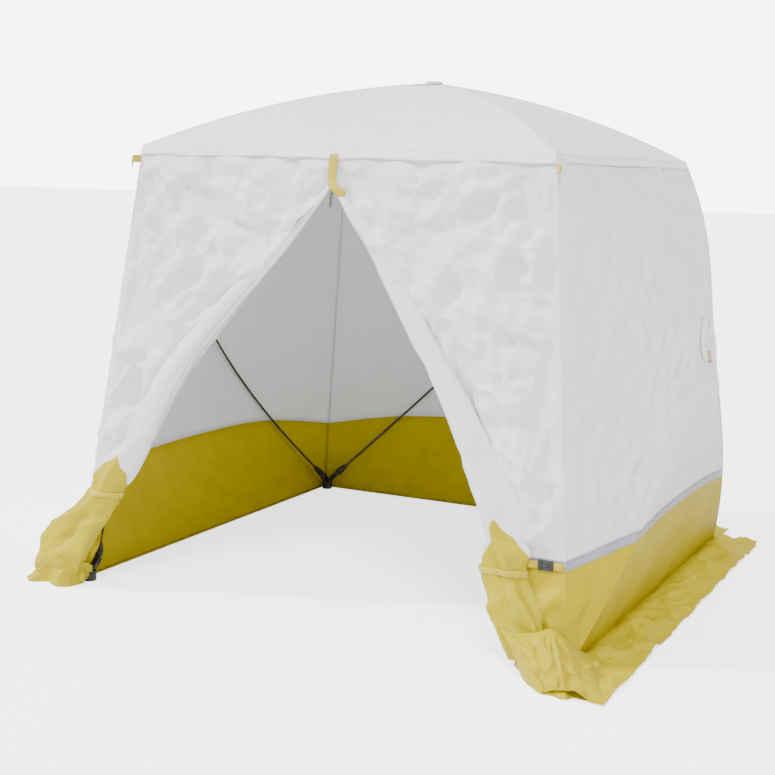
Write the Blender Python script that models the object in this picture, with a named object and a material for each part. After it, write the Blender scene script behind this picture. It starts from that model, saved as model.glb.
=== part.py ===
"""Pop-up work tent: a hub-and-rod frame inside a fabric shell, with a zipped front door tied open.

Each of the left, right and back walls and the roof has a hub in its middle and four glass-fibre rods that
run from the hub to corner fittings. The frame is up when every hub stands outside the plane of its corners.
Frame: +X right, +Y from the door to the back wall, +Z up, origin on the floor under the middle of the roof.
"""

from math import asin, atan, atan2, cos, pi, radians, sin, sqrt, tan

import bmesh
import bpy
from mathutils import Matrix, Vector

# Overall sizes, metres
BASE_HALF = 0.90  # half the footprint's side, at the floor
EAVES_HALF = 0.74  # half the roof's side
EAVES_HEIGHT = 1.51
HUB_HEIGHT = 0.88  # height of the wall hubs
WALL_THROW = 0.24  # how far a wall hub stands outside its wall's plane
ROOF_THROW = 0.25
FABRIC_BOW = 0.045  # how far the fabric's ridges bow out from their chords
BASE_BAND = 0.38  # height of the coloured lower wall
SKIRT_WIDTH = 0.20

# Fabric and its seams
FABRIC = 0.002
EDGE_INSET = 0.0045  # each panel stops this short of its corner lines
SEAM_GAP = 0.001
TAPE_WIDTH = 0.030
TAPE_THICK = 0.0012
CLEAR = 0.0004  # between pieces that touch
GORE_LEVELS = 5  # rows of faces from a panel's edge to its hub
GORE_STEPS = 4  # columns of faces along a panel's edge

# Door: two flaps under the zip's top end, tied back to the front corners
ZIP_DROP = 0.113  # of the zip's top under the eaves
ZIP_FLOOR_GAP = 0.035  # under the closed zip
ZIP_TAPE_WIDTH = 0.016
ZIP_TAPE_THICK = 0.002
TIE_HEIGHT = 0.30
TIE_INSET = 0.21  # from the corner to the flap's free edge, at the tie
TAPE_INSET = 0.016  # from the corner to the folded-back zip tape, at the tie
FLAP_BOW = 0.065  # of the free edge out from its chord
EDGE_STEPS = 6  # straight stretches along the bowed edge
DOOR_FOOT_INSET = 0.10  # from the corner to the flap's free edge, on the floor
SLIDER_WIDTH = 0.012
SLIDER_DEPTH = 0.007
SLIDER_HEIGHT = 0.032
PULLER_WIDTH = 0.008
PULLER_DEPTH = 0.002
PULLER_HEIGHT = 0.045
ZIP_STRAP_WIDTH = 0.030
ZIP_STRAP_THICK = 0.0025
ZIP_STRAP_HEIGHT = 0.105

# Rods, with a boot at the corner end and a ferrule at the hub end
ROD_RADIUS = 0.0045
ROD_BOW = 0.070
BOOT_RADIUS = 0.015
BOOT_NECK_RADIUS = 0.008
BOOT_LENGTH = 0.062  # from the pivot
FERRULE_WALL = 0.0007
FERRULE_LENGTH = 0.045
ROD_STATIONS = 6  # rings along the bare rod
PIVOT_REACH = 0.100  # from the panel's corner, towards the hub
PIVOT_DEPTH = 0.025  # inside the panel's plane

# Corner fittings
EYE_RADIUS = 0.0095
EYE_THICK = 0.010
EYE_CLEAR = 0.0005
EAR_RADIUS = 0.0105
EAR_THICK = 0.004
PIN_RADIUS = 0.003
PIN_CLEAR = 0.0003
BOOT_CLEAR = 0.0025  # from an ear's rim to the boot
ARM_LENGTH = 0.070
FITTING_CLEAR = 0.0024  # from the foot's rim to the leaning fabric
FITTING_RADIUS = 0.022
FOOT_HEIGHT = 0.034
TOP_FITTING_DROP = 0.012
TOP_FITTING_HEIGHT = 0.046

# Hubs
FLANGE_RADIUS = 0.060
FLANGE_THICK = 0.004
LOBE_SETBACK = 0.004  # of the lobes from the flange's rim
LOBE_HEIGHT = 0.040
SLOT_CLEAR = 0.001  # each side of a ferrule
CORE_RADIUS = 0.006
TIP_DEPTH = 0.024  # of the rod tips under the flange
TIP_CLEAR = 0.0065  # from the core to a rod's tip, when the rods lie flat
FLANGE_CLEAR = 0.0018  # from the flange's rim to the fabric over it
CAP_RADIUS = 0.032
CAP_HEIGHT = 0.009
CAP_STAND = 0.001  # of the cap's underside over the fabric's peak
CAP_TAPER = 0.7  # the cap's outer face over its inner one
STUD_RADIUS = 0.008
HUB_HOLE_CLEAR = 0.008  # from the cap's rim to the fabric

# Tie-back buckles and corner rings
BUCKLE_INSET = 0.068  # from the corner to the socket's mouth
SOCKET_LENGTH = 0.034
SOCKET_DEPTH = 0.010
SOCKET_HEIGHT = 0.030
SOCKET_WALL = 0.002
PLUG_INSIDE = 0.024
PLUG_HEAD = 0.014
TAB_START = 0.006  # from the corner
TAB_LENGTH = 0.030
TAB_WIDTH = 0.025
TAB_THICK = 0.003
TAB_DROP = 0.045  # of the tab under the eaves
RING_RADIUS = 0.013
RING_WIRE = 0.0018
RING_EDGE = 0.007  # from the ring's eye to the tab's end

# Faces round each kind of round piece
HUB_SIDES = 32
CAP_SIDES = 24
FITTING_SIDES = 20
STUD_SIDES = 16
PIN_SIDES = 12
ROD_SIDES = 8
ROUND_STEPS = 6  # on the half circle at a lug's end
RING_STEPS = 16
WIRE_SIDES = 6

# Sizes that follow from those
LEAN = (BASE_HALF - EAVES_HALF) / EAVES_HEIGHT  # how far the walls lean in for each metre up
SLANT = sqrt(1 + LEAN**2)  # length along a wall for each metre up
HUB_IN_WALL = BASE_HALF - LEAN * HUB_HEIGHT
HUB_HOLE = CAP_RADIUS + HUB_HOLE_CLEAR
FERRULE_RADIUS = ROD_RADIUS + FERRULE_WALL
TIP_REACH = CORE_RADIUS + TIP_CLEAR
EAR_SPAN = EYE_THICK + 2 * EYE_CLEAR + 2 * EAR_THICK
ZIP_TOP = EAVES_HEIGHT - ZIP_DROP
ZIP_LENGTH = (ZIP_TOP - ZIP_FLOOR_GAP) * SLANT
TIE_FALL = (ZIP_TOP - TIE_HEIGHT) * SLANT
TIE_REACH = BASE_HALF - LEAN * TIE_HEIGHT
FLAP_ANGLE = atan((TIE_REACH - TIE_INSET) / TIE_FALL)  # of the free edge's chord, from upright
TAPE_ANGLE = atan((TIE_REACH - TAPE_INSET) / TIE_FALL)  # of each zip tape, from upright
BUCKLE_X = TIE_REACH - BUCKLE_INSET
FITTING_INSET = FITTING_RADIUS + LEAN * FOOT_HEIGHT + SLANT * FABRIC + FITTING_CLEAR

COLOURS = {
    "white_fabric": ((0.90, 0.90, 0.89), 0.55, 0.0),
    "yellow_fabric": ((0.83, 0.66, 0.04), 0.45, 0.0),
    "grey_tape": ((0.45, 0.45, 0.47), 0.6, 0.0),
    "yellow_webbing": ((0.85, 0.68, 0.08), 0.7, 0.0),
    "white_zip": ((0.86, 0.86, 0.84), 0.5, 0.0),
    "zip_metal": ((0.42, 0.42, 0.42), 0.35, 1.0),
    "rod_black": ((0.03, 0.028, 0.026), 0.35, 0.0),
    "black_plastic": ((0.02, 0.02, 0.022), 0.45, 0.0),
    "grey_plastic": ((0.30, 0.30, 0.30), 0.5, 0.0),
    "ring_steel": ((0.55, 0.55, 0.56), 0.3, 1.0),
}


def corner_points():
    points = {}
    for level, half, height in (("foot", BASE_HALF, 0.0), ("top", EAVES_HALF, EAVES_HEIGHT)):
        for end, y in (("front", -half), ("back", half)):
            for side, x in (("left", -half), ("right", half)):
                points[f"{level}_{end}_{side}"] = Vector((x, y, height))
    return points


CORNERS = corner_points()


class Panel:
    """A four-cornered fabric panel that a hub pushes out into a low pyramid with bowed ridges."""

    def __init__(self, name, corners, apex, normal, throw):
        self.name = name
        self.corners = [(corner, CORNERS[corner]) for corner in corners]  # anticlockwise from outside
        self.apex = Vector(apex)  # in the panel's plane, under the hub
        self.normal = Vector(normal).normalized()
        self.throw = throw

    def rise(self, s):
        """Height of the fabric over the panel's plane, from its edge at s 0 to its hub at s 1."""
        return self.throw * s + 4 * FABRIC_BOW * s * (1 - s)

    def at(self, edge_point, s):
        return edge_point.lerp(self.apex, s) + self.normal * self.rise(s)

    def nearest_edge(self):
        """Distance from the hub's axis to the panel's nearest edge."""
        places = [place for _, place in self.corners]
        edges = zip(places, places[1:] + places[:1])
        return min((self.apex - a).cross((b - a).normalized()).length for a, b in edges)

    def levels(self, reach, hole, inset):
        """The s of each row of a gore, on a line of this reach from its edge to the hub's axis."""
        first = inset / self.nearest_edge()
        last = 1 - hole / reach
        return [first + (last - first) * level / GORE_LEVELS for level in range(GORE_LEVELS + 1)]

    def fall(self, radius):
        """How far the fabric falls from its peak to this radius, on the shortest gore."""
        reach = self.nearest_edge()
        before, last = self.levels(reach, HUB_HOLE, EDGE_INSET)[-2:]
        share = (1 - radius / reach - before) / (last - before)
        return self.throw - self.rise(before) - share * (self.rise(last) - self.rise(before))

    def flange_top(self):
        """Height of the hub's flange over the panel's plane. The hubs are all alike."""
        falls = [panel.fall(FLANGE_RADIUS) for panel in PANELS.values()]
        return self.throw - max(falls) - FABRIC - FLANGE_CLEAR

    def rod_rise(self):
        """How far a rod's hub end stands over its pivot, along the normal."""
        return self.flange_top() - FLANGE_THICK - TIP_DEPTH + PIVOT_DEPTH


def all_panels():
    """The four panels that have a hub. The front wall has none."""
    walls = (("right", 1, 0), ("left", -1, 0), ("back", 0, 1))
    panels = {}
    for name, x, y in walls:
        corners = [corner for corner in CORNERS if name in corner.split("_")]
        centre = Vector((x, y, 0)) * HUB_IN_WALL + Vector((0, 0, HUB_HEIGHT))
        panels[name] = Panel(name, ring_order(corners, (x, y, 0)), centre, (x, y, LEAN), WALL_THROW)
    eaves = [corner for corner in CORNERS if corner.startswith("top")]
    centre = Vector((0, 0, EAVES_HEIGHT))
    panels["roof"] = Panel("roof", ring_order(eaves, (0, 0, 1)), centre, (0, 0, 1), ROOF_THROW)
    return panels


def ring_order(corners, outward):
    """A panel's corners in order round its edge."""
    middle = sum((CORNERS[corner] for corner in corners), Vector()) / len(corners)
    first = CORNERS[corners[0]] - middle
    side = Vector(outward).cross(first)

    def turn(corner):
        arm = CORNERS[corner] - middle
        return atan2(arm.dot(side), arm.dot(first))

    return sorted(corners, key=turn)


PANELS = all_panels()
WALLS = ("left", "right", "back")


def clear_scene():
    for obj in list(bpy.data.objects):
        bpy.data.objects.remove(obj)


def material(name):
    found = bpy.data.materials.get(name)
    if found:
        return found
    colour, roughness, metallic = COLOURS[name]
    made = bpy.data.materials.new(name)
    made.use_nodes = True
    shader = made.node_tree.nodes["Principled BSDF"]
    shader.inputs["Base Color"].default_value = (*colour, 1)
    shader.inputs["Roughness"].default_value = roughness
    shader.inputs["Metallic"].default_value = metallic
    return made


def new_object(name, bm, look=None, matrix=None, smooth_angle=None):
    bmesh.ops.recalc_face_normals(bm, faces=bm.faces)
    mesh = bpy.data.meshes.new(name)
    bm.to_mesh(mesh)
    bm.free()
    obj = bpy.data.objects.new(name, mesh)
    bpy.context.scene.collection.objects.link(obj)
    if matrix is not None:
        obj.matrix_world = matrix
    if look:
        mesh.materials.append(material(look))
    if smooth_angle:
        mesh.shade_smooth()
        mesh.set_sharp_from_angle(angle=radians(smooth_angle))
    return obj


def helper(name, bm, matrix=None):
    """A cutter, or a shape that a Boolean joins: not a part by itself."""
    obj = new_object(name, bm, matrix=matrix)
    obj.hide_render = True
    obj.display_type = "WIRE"
    return obj


def combine(obj, other, operation):
    modifier = obj.modifiers.new(f"{operation.lower()}_{other.name}", "BOOLEAN")
    modifier.operation = operation
    modifier.object = other


def box(size, centre=(0, 0, 0), frame=None):
    bm = bmesh.new()
    bmesh.ops.create_cube(bm, size=1)
    bmesh.ops.scale(bm, vec=size, verts=bm.verts)
    bmesh.ops.translate(bm, vec=centre, verts=bm.verts)
    if frame is not None:
        bmesh.ops.transform(bm, matrix=frame, verts=bm.verts)
    return bm


def cylinder(radius, low, high, sides, top_radius=None, frame=None):
    """A cylinder or cone on the Z axis, from low to high."""
    bm = bmesh.new()
    bmesh.ops.create_cone(
        bm,
        cap_ends=True,
        segments=sides,
        radius1=radius,
        radius2=radius if top_radius is None else top_radius,
        depth=high - low,
    )
    bmesh.ops.translate(bm, vec=(0, 0, (low + high) / 2), verts=bm.verts)
    if frame is not None:
        bmesh.ops.transform(bm, matrix=frame, verts=bm.verts)
    return bm


def frame_of(origin, x_axis, z_axis):
    """The matrix whose X and Z axes are these, and whose Y axis is square to both."""
    x_axis, z_axis = x_axis.normalized(), z_axis.normalized()
    y_axis = z_axis.cross(x_axis)
    rows = Matrix((x_axis, y_axis, z_axis)).transposed()
    return Matrix.Translation(origin) @ rows.to_4x4()


Y_FROM_Z = Matrix.Rotation(-pi / 2, 4, "X")  # turns a cylinder from the Z axis to the Y axis


def lug(radius, width, reach, frame=None):
    """A bar along X from reach to the origin, where its end is round about the Y axis."""
    bm = bmesh.new()
    side = 1 if reach < 0 else -1
    arc = [pi / 2 - pi * k / ROUND_STEPS for k in range(ROUND_STEPS + 1)]
    outline = [(side * radius * cos(a), radius * sin(a)) for a in arc]
    outline += [(reach, -radius), (reach, radius)]
    face = bm.faces.new([bm.verts.new((x, -width / 2, z)) for x, z in outline])
    sides = bmesh.ops.extrude_face_region(bm, geom=[face])
    moved = [item for item in sides["geom"] if isinstance(item, bmesh.types.BMVert)]
    bmesh.ops.translate(bm, vec=(0, width, 0), verts=moved)
    if frame is not None:
        bmesh.ops.transform(bm, matrix=frame, verts=bm.verts)
    return bm


# Fabric panels


def gore_sheet(panel, hole=HUB_HOLE, inset=EDGE_INSET):
    """The panel's outer surface as four gores round the hub's opening, as a sheet with no thickness."""
    bm = bmesh.new()
    places = [place for _, place in panel.corners]
    for a, b in zip(places, places[1:] + places[:1]):
        rows = []
        for level in range(GORE_LEVELS + 1):
            row = []
            for step in range(GORE_STEPS + 1):
                edge_point = a.lerp(b, step / GORE_STEPS)
                s = panel.levels((edge_point - panel.apex).length, hole, inset)[level]
                row.append(bm.verts.new(panel.at(edge_point, s)))
            rows.append(row)
        for low, high in zip(rows, rows[1:]):
            for i in range(GORE_STEPS):
                bm.faces.new((low[i], low[i + 1], high[i + 1], high[i]))
    bmesh.ops.remove_doubles(bm, verts=bm.verts, dist=1e-5)
    return bm


def cut_at(bm, height, keep_above):
    """Keeps the part of a sheet over or under a height."""
    bmesh.ops.bisect_plane(
        bm,
        geom=bm.verts[:] + bm.edges[:] + bm.faces[:],
        plane_co=(0, 0, height),
        plane_no=(0, 0, 1),
        clear_inner=keep_above,
        clear_outer=not keep_above,
    )
    return bm


def thicken(obj, thickness, outward=False):
    modifier = obj.modifiers.new("thickness", "SOLIDIFY")
    modifier.thickness = thickness
    modifier.offset = 1 if outward else -1
    modifier.use_even_offset = True


def face_away(obj, point):
    """Turns a whole open sheet over if it faces a point inside the tent."""
    bm = bmesh.new()
    bm.from_mesh(obj.data)
    facing = sum(f.calc_area() * f.normal.dot(f.calc_center_median() - Vector(point)) for f in bm.faces)
    if facing < 0:
        bmesh.ops.reverse_faces(bm, faces=bm.faces)
    bm.to_mesh(obj.data)
    bm.free()


INSIDE = (0, 0, EAVES_HEIGHT / 2)


def fabric(name, bm, look, thickness=FABRIC, outward=False):
    obj = new_object(name, bm, look, smooth_angle=25)
    face_away(obj, INSIDE)
    thicken(obj, thickness, outward)
    return obj


def roof():
    fabric("roof_panel", gore_sheet(PANELS["roof"]), "white_fabric")


def walls():
    for name in WALLS:
        upper = cut_at(gore_sheet(PANELS[name]), BASE_BAND + SEAM_GAP / 2, True)
        fabric(f"wall_{name}_upper", upper, "white_fabric")
        base = cut_at(gore_sheet(PANELS[name]), BASE_BAND - SEAM_GAP / 2, False)
        fabric(f"wall_{name}_base", base, "yellow_fabric")


def seam_tape():
    """One tape round three walls, over the seam between their upper and lower fabrics."""
    bm = bmesh.new()
    for name in WALLS:
        strip = gore_sheet(PANELS[name], inset=0)
        cut_at(strip, BASE_BAND + TAPE_WIDTH / 2, False)
        cut_at(strip, BASE_BAND - TAPE_WIDTH / 2, True)
        mesh = bpy.data.meshes.new("strip")
        strip.to_mesh(mesh)
        strip.free()
        bm.from_mesh(mesh)
        bpy.data.meshes.remove(mesh)
    bmesh.ops.remove_doubles(bm, verts=bm.verts, dist=1e-5)
    obj = fabric("seam_tape", bm, "grey_tape", TAPE_THICK, outward=True)
    lift = obj.modifiers.new("lift", "DISPLACE")
    lift.mid_level = 0
    lift.strength = CLEAR
    obj.modifiers.move(1, 0)


def skirts():
    """The flaps on the ground outside the walls. Each is as long as its wall."""
    length = 2 * (BASE_HALF - CLEAR)
    width = SKIRT_WIDTH - CLEAR
    middle = BASE_HALF + CLEAR + width / 2
    for side, sign in (("left", -1), ("right", 1)):
        plate = box((width, length, FABRIC), (sign * middle, 0, FABRIC / 2))
        new_object(f"skirt_{side}", plate, "yellow_fabric")
    plate = box((length, width, FABRIC), (0, middle, FABRIC / 2))
    new_object("skirt_back", plate, "yellow_fabric")


# Door


def front_frame(x, height):
    """On the front wall's outer face: X to the right, Y inwards and Z up the wall."""
    origin = Vector((x, LEAN * height - BASE_HALF, height))
    return frame_of(origin, Vector((1, 0, 0)), Vector((0, LEAN, 1)))


def free_edge(height):
    """How far the flap's free edge is from the middle."""
    start = SEAM_GAP / 2 + ZIP_TAPE_WIDTH + SEAM_GAP
    share = (ZIP_TOP - height) / (ZIP_TOP - TIE_HEIGHT)
    chord = start / cos(FLAP_ANGLE) + share * TIE_FALL * tan(FLAP_ANGLE)
    return chord + 4 * FLAP_BOW * share * (1 - share)


def corner_edge(height):
    return BASE_HALF - LEAN * height - EDGE_INSET


def sheet_on_front(outline, sign, skirt=0.0):
    """A sheet on the front wall from an outline of (distance from the middle, height).

    Where its edge lies on the floor, the sheet goes on outwards as a skirt.
    """
    bm = bmesh.new()
    verts = [bm.verts.new((sign * x, LEAN * z - BASE_HALF, z)) for x, z in outline]
    bm.faces.new(verts)
    if skirt:
        lowest = min(z for _, z in outline)
        near = [vert for vert, (_, z) in zip(verts, outline) if z == lowest]
        far = [bm.verts.new(vert.co - Vector((0, skirt, 0))) for vert in near]
        bm.faces.new((*near, *reversed(far)))
    return bm


def door_flaps():
    """Each flap is an upper sheet and a coloured lower one, seamed at the height of the walls' seam."""
    top = EAVES_HEIGHT - EDGE_INSET
    seam_top = BASE_BAND + SEAM_GAP / 2
    seam_low = BASE_BAND - SEAM_GAP / 2
    turn = min(TIE_HEIGHT, seam_low - ZIP_TAPE_WIDTH)
    floor = FABRIC + CLEAR
    heights = [seam_top + (ZIP_TOP - seam_top) * k / EDGE_STEPS for k in range(EDGE_STEPS + 1)]
    upper = [
        (SEAM_GAP, top),
        (corner_edge(top) - EDGE_INSET, top),
        (corner_edge(seam_top), seam_top),
        *((free_edge(height), height) for height in heights),
        (SEAM_GAP, ZIP_TOP + ZIP_TAPE_WIDTH),
    ]
    base = [
        (free_edge(seam_low), seam_low),
        (corner_edge(seam_low), seam_low),
        (corner_edge(floor), floor),
        (BASE_HALF - DOOR_FOOT_INSET, floor),
        (free_edge(turn), turn),
    ]
    for side, sign in (("left", -1), ("right", 1)):
        fabric(f"door_{side}_upper", sheet_on_front(upper, sign), "white_fabric")
        fabric(f"door_{side}_base", sheet_on_front(base, sign, SKIRT_WIDTH), "yellow_fabric")


def zip_tapes():
    """The tapes are folded back behind the flaps.

    Each tape's frame stands at the zip's top, where the tape turns, with -Z down the tape.
    """
    for side, sign in (("left", -1), ("right", 1)):
        frame = front_frame(0, ZIP_TOP) @ Matrix.Rotation(-sign * TAPE_ANGLE, 4, "Y")
        length = ZIP_LENGTH - SLIDER_HEIGHT
        across = sign * (SEAM_GAP + ZIP_TAPE_WIDTH) / 2
        tape = box(
            (ZIP_TAPE_WIDTH, ZIP_TAPE_THICK, length),
            (across, FABRIC + CLEAR + ZIP_TAPE_THICK / 2, -SLIDER_HEIGHT - length / 2),
        )
        new_object(f"zip_tape_{side}", tape, "white_zip", frame)


def zip_slider():
    """The slider stands on the zip's outer side, with its puller hanging from it."""
    frame = front_frame(0, ZIP_TOP)
    middle = FABRIC - SLIDER_DEPTH / 2
    body = box(
        (SLIDER_WIDTH, SLIDER_DEPTH, SLIDER_HEIGHT),
        (0, middle, -SLIDER_HEIGHT / 2),
    )
    slider = new_object("zip_slider", body, "zip_metal", frame)
    overlap = SLIDER_HEIGHT / 4
    puller = box(
        (PULLER_WIDTH, PULLER_DEPTH, PULLER_HEIGHT),
        (0, middle, overlap - SLIDER_HEIGHT - PULLER_HEIGHT / 2),
    )
    combine(slider, helper("puller", puller, frame), "UNION")


def zip_top_strap():
    """The webbing sewn over the zip's top end."""
    low = -SLIDER_HEIGHT / 4
    strap = box(
        (ZIP_STRAP_WIDTH, ZIP_STRAP_THICK, ZIP_STRAP_HEIGHT),
        (0, FABRIC - SLIDER_DEPTH - CLEAR - ZIP_STRAP_THICK / 2, low + ZIP_STRAP_HEIGHT / 2),
    )
    obj = new_object("zip_top_strap", strap, "yellow_webbing", front_frame(0, ZIP_TOP))
    bevel = obj.modifiers.new("edges", "BEVEL")
    bevel.width = ZIP_STRAP_THICK / 4
    bevel.segments = 1


# Rods


class Rod:
    """A rod from a corner fitting to a hub. Its frame is at its pivot: X to the hub's axis, Z outwards."""

    def __init__(self, panel, corner, place):
        towards = (panel.apex - place).normalized()
        known = "top" if panel.name == "roof" else panel.name
        words = [word for word in corner.split("_") if word != known]
        self.name = "_".join(["rod", panel.name, *words])
        self.corner = corner
        pivot = place + towards * PIVOT_REACH - panel.normal * PIVOT_DEPTH
        self.frame = frame_of(pivot, towards, panel.normal)
        self.rise = panel.rod_rise()
        flat = (panel.apex - place).length - PIVOT_REACH - TIP_REACH
        self.angle = asin(self.rise / flat)  # of the chord, from the panel's plane
        self.run = sqrt(flat**2 - self.rise**2)

    def point(self, s):
        """A point of the centreline, from the pivot at s 0 to the tip at s 1."""
        return Vector((self.run * s, 0, self.rise * s + 4 * ROD_BOW * s * (1 - s)))


def rods_of(panel):
    return [Rod(panel, corner, place) for corner, place in panel.corners]


def tube(points, radii, sides):
    """A tube along points that lie in the XZ plane, with a radius at each."""
    bm = bmesh.new()
    rings = []
    for i, (point, radius) in enumerate(zip(points, radii)):
        before, after = points[max(i - 1, 0)], points[min(i + 1, len(points) - 1)]
        along = (after - before).normalized()
        side = Vector((0, 1, 0))
        up = along.cross(side)
        rings.append(
            [
                bm.verts.new(point + radius * (cos(a) * side + sin(a) * up))
                for a in (2 * pi * (k + 0.5) / sides for k in range(sides))
            ]
        )
    for low, high in zip(rings, rings[1:]):
        for k in range(sides):
            bm.faces.new((low[k], low[(k + 1) % sides], high[(k + 1) % sides], high[k]))
    bm.faces.new(rings[0])
    bm.faces.new(rings[-1])
    return bm


def rod(one):
    """A boot at the corner end, the bowed rod, and a ferrule at the hub end, with the boot's pivot eye."""
    boot_start = EAR_RADIUS + BOOT_CLEAR
    chamfer = BOOT_RADIUS - BOOT_NECK_RADIUS / 2
    bare_start = BOOT_LENGTH + ROD_RADIUS / 4
    bare_end = one.run - FERRULE_LENGTH
    stations = [
        (boot_start, BOOT_RADIUS - ROD_RADIUS / 2),
        (boot_start + ROD_RADIUS / 2, BOOT_RADIUS),
        (boot_start + chamfer, BOOT_RADIUS),
        (BOOT_LENGTH, BOOT_NECK_RADIUS),
    ]
    for k in range(ROD_STATIONS):
        stations.append((bare_start + (bare_end - bare_start) * k / (ROD_STATIONS - 1), ROD_RADIUS))
    stations += [
        (bare_end + FERRULE_WALL, FERRULE_RADIUS),
        (one.run - FERRULE_RADIUS / 2, FERRULE_RADIUS),
        (one.run, FERRULE_RADIUS / 2),
    ]
    points = [one.point(x / one.run) for x, _ in stations]
    radii = [radius for _, radius in stations]
    obj = new_object(one.name, tube(points, radii, ROD_SIDES), "rod_black", one.frame, smooth_angle=40)
    inside = BOOT_LENGTH / 2
    towards = one.point(inside / one.run).normalized()
    eye_frame = one.frame @ frame_of(Vector(), towards, towards.cross(Vector((0, 1, 0))))
    combine(obj, helper(f"eye_{one.name}", lug(EYE_RADIUS, EYE_THICK, inside, eye_frame)), "UNION")
    hole = cylinder(PIN_RADIUS + PIN_CLEAR, -EYE_THICK, EYE_THICK, PIN_SIDES, frame=Y_FROM_Z)
    combine(obj, helper(f"hole_{one.name}", hole, one.frame), "DIFFERENCE")


def rods():
    for panel in PANELS.values():
        for one in rods_of(panel):
            rod(one)


# Corner fittings


def inward(corner):
    """A horizontal step from a corner towards the middle, square to both of its walls."""
    place = CORNERS[corner]
    return Vector((-1 if place.x > 0 else 1, -1 if place.y > 0 else 1, 0))


def fitting(corner):
    """The block that holds a corner's rods: for each, an arm with a forked round end and a pin."""
    place = CORNERS[corner] + inward(corner) * FITTING_INSET
    low, high = 0.0, FOOT_HEIGHT
    if corner.startswith("top"):
        high = EAVES_HEIGHT - TOP_FITTING_DROP
        low = high - TOP_FITTING_HEIGHT
    frame = Matrix.Translation((place.x, place.y, low))
    body = cylinder(FITTING_RADIUS, 0, high - low, FITTING_SIDES)
    obj = new_object(f"corner_{corner}", body, "black_plastic", frame, smooth_angle=40)
    here = [one for panel in PANELS.values() for one in rods_of(panel) if one.corner == corner]
    for one in here:
        arm = lug(EAR_RADIUS, EAR_SPAN, -ARM_LENGTH)
        slot_back = EYE_RADIUS + BOOT_CLEAR
        slot = box(
            (slot_back + 2 * EAR_RADIUS, EYE_THICK + 2 * EYE_CLEAR, 4 * EAR_RADIUS),
            (EAR_RADIUS - slot_back / 2, 0, 0),
        )
        pin_half = (EAR_SPAN - EAR_THICK) / 2
        pin = cylinder(PIN_RADIUS, -pin_half, pin_half, PIN_SIDES, frame=Y_FROM_Z)
        combine(obj, helper(f"arm_{one.name}", arm, one.frame), "UNION")
        combine(obj, helper(f"slot_{one.name}", slot, one.frame), "DIFFERENCE")
        combine(obj, helper(f"pin_{one.name}", pin, one.frame), "UNION")


# Hubs


def hub(panel):
    """The hub's flange lies inside the fabric, over four lobes with the rod tips in slots between them."""
    top = panel.flange_top()
    under = top - FLANGE_THICK
    low = under - LOBE_HEIGHT
    into_flange = under + FLANGE_THICK / 2
    frame = frame_of(panel.apex, panel.corners[0][1] - panel.apex, panel.normal)
    flange = cylinder(FLANGE_RADIUS, under, top, HUB_SIDES)
    obj = new_object(f"hub_{panel.name}", flange, "black_plastic", frame, smooth_angle=40)
    cluster = cylinder(FLANGE_RADIUS - LOBE_SETBACK, low, into_flange, HUB_SIDES)
    lobes = helper(f"lobes_{panel.name}", cluster, frame)
    slot_width = 2 * (FERRULE_RADIUS + SLOT_CLEAR)
    for one in rods_of(panel):
        outward = one.frame.to_3x3() @ Vector((-1, 0, 0))
        slot_frame = frame_of(panel.apex, outward, panel.normal)
        slot_size = (FLANGE_RADIUS, slot_width, 2 * LOBE_HEIGHT)
        slot = box(slot_size, (CORE_RADIUS + FLANGE_RADIUS / 2, 0, low))
        combine(lobes, helper(f"hub_slot_{one.name}", slot, slot_frame), "DIFFERENCE")
    combine(obj, lobes, "UNION")
    core = cylinder(CORE_RADIUS, low, into_flange, PIN_SIDES)
    combine(obj, helper(f"core_{panel.name}", core, frame), "UNION")
    cap_low = panel.throw + CAP_STAND
    stud = cylinder(STUD_RADIUS, into_flange, cap_low - CLEAR, STUD_SIDES)
    combine(obj, helper(f"stud_{panel.name}", stud, frame), "UNION")
    cap = cylinder(CAP_RADIUS, cap_low, cap_low + CAP_HEIGHT, CAP_SIDES, CAP_RADIUS * CAP_TAPER)
    new_object(f"hub_cap_{panel.name}", cap, "grey_plastic", frame, smooth_angle=40)


# Tie-back buckles and corner rings


def buckles():
    """A socket beside each corner and a plug that slides out of it towards the door's middle."""
    cavity_depth = SOCKET_DEPTH - 2 * SOCKET_WALL
    cavity_height = SOCKET_HEIGHT - 2 * SOCKET_WALL
    prong_height = cavity_height / 4
    out = -CLEAR - SOCKET_DEPTH / 2
    for side, sign in (("left", -1), ("right", 1)):
        frame = front_frame(sign * BUCKLE_X, TIE_HEIGHT)
        shell = box((SOCKET_LENGTH, SOCKET_DEPTH, SOCKET_HEIGHT), (sign * SOCKET_LENGTH / 2, out, 0))
        socket = new_object(f"buckle_{side}_socket", shell, "black_plastic", frame)
        cavity = box((2 * (PLUG_INSIDE + CLEAR), cavity_depth, cavity_height), (0, out, 0))
        combine(socket, helper(f"cavity_{side}", cavity, frame), "DIFFERENCE")
        head = box((PLUG_HEAD, SOCKET_DEPTH, SOCKET_HEIGHT), (-sign * (CLEAR + PLUG_HEAD / 2), out, 0))
        plug = new_object(f"buckle_{side}_plug", head, "black_plastic", frame)
        for where, level in (("low", -1), ("high", 1)):
            height = level * (cavity_height / 2 - CLEAR - prong_height / 2)
            prong = box(
                (PLUG_INSIDE + PLUG_HEAD / 2, cavity_depth - 2 * CLEAR, prong_height),
                (sign * (PLUG_INSIDE - PLUG_HEAD / 2) / 2, out, height),
            )
            combine(plug, helper(f"prong_{side}_{where}", prong, frame), "UNION")


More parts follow.
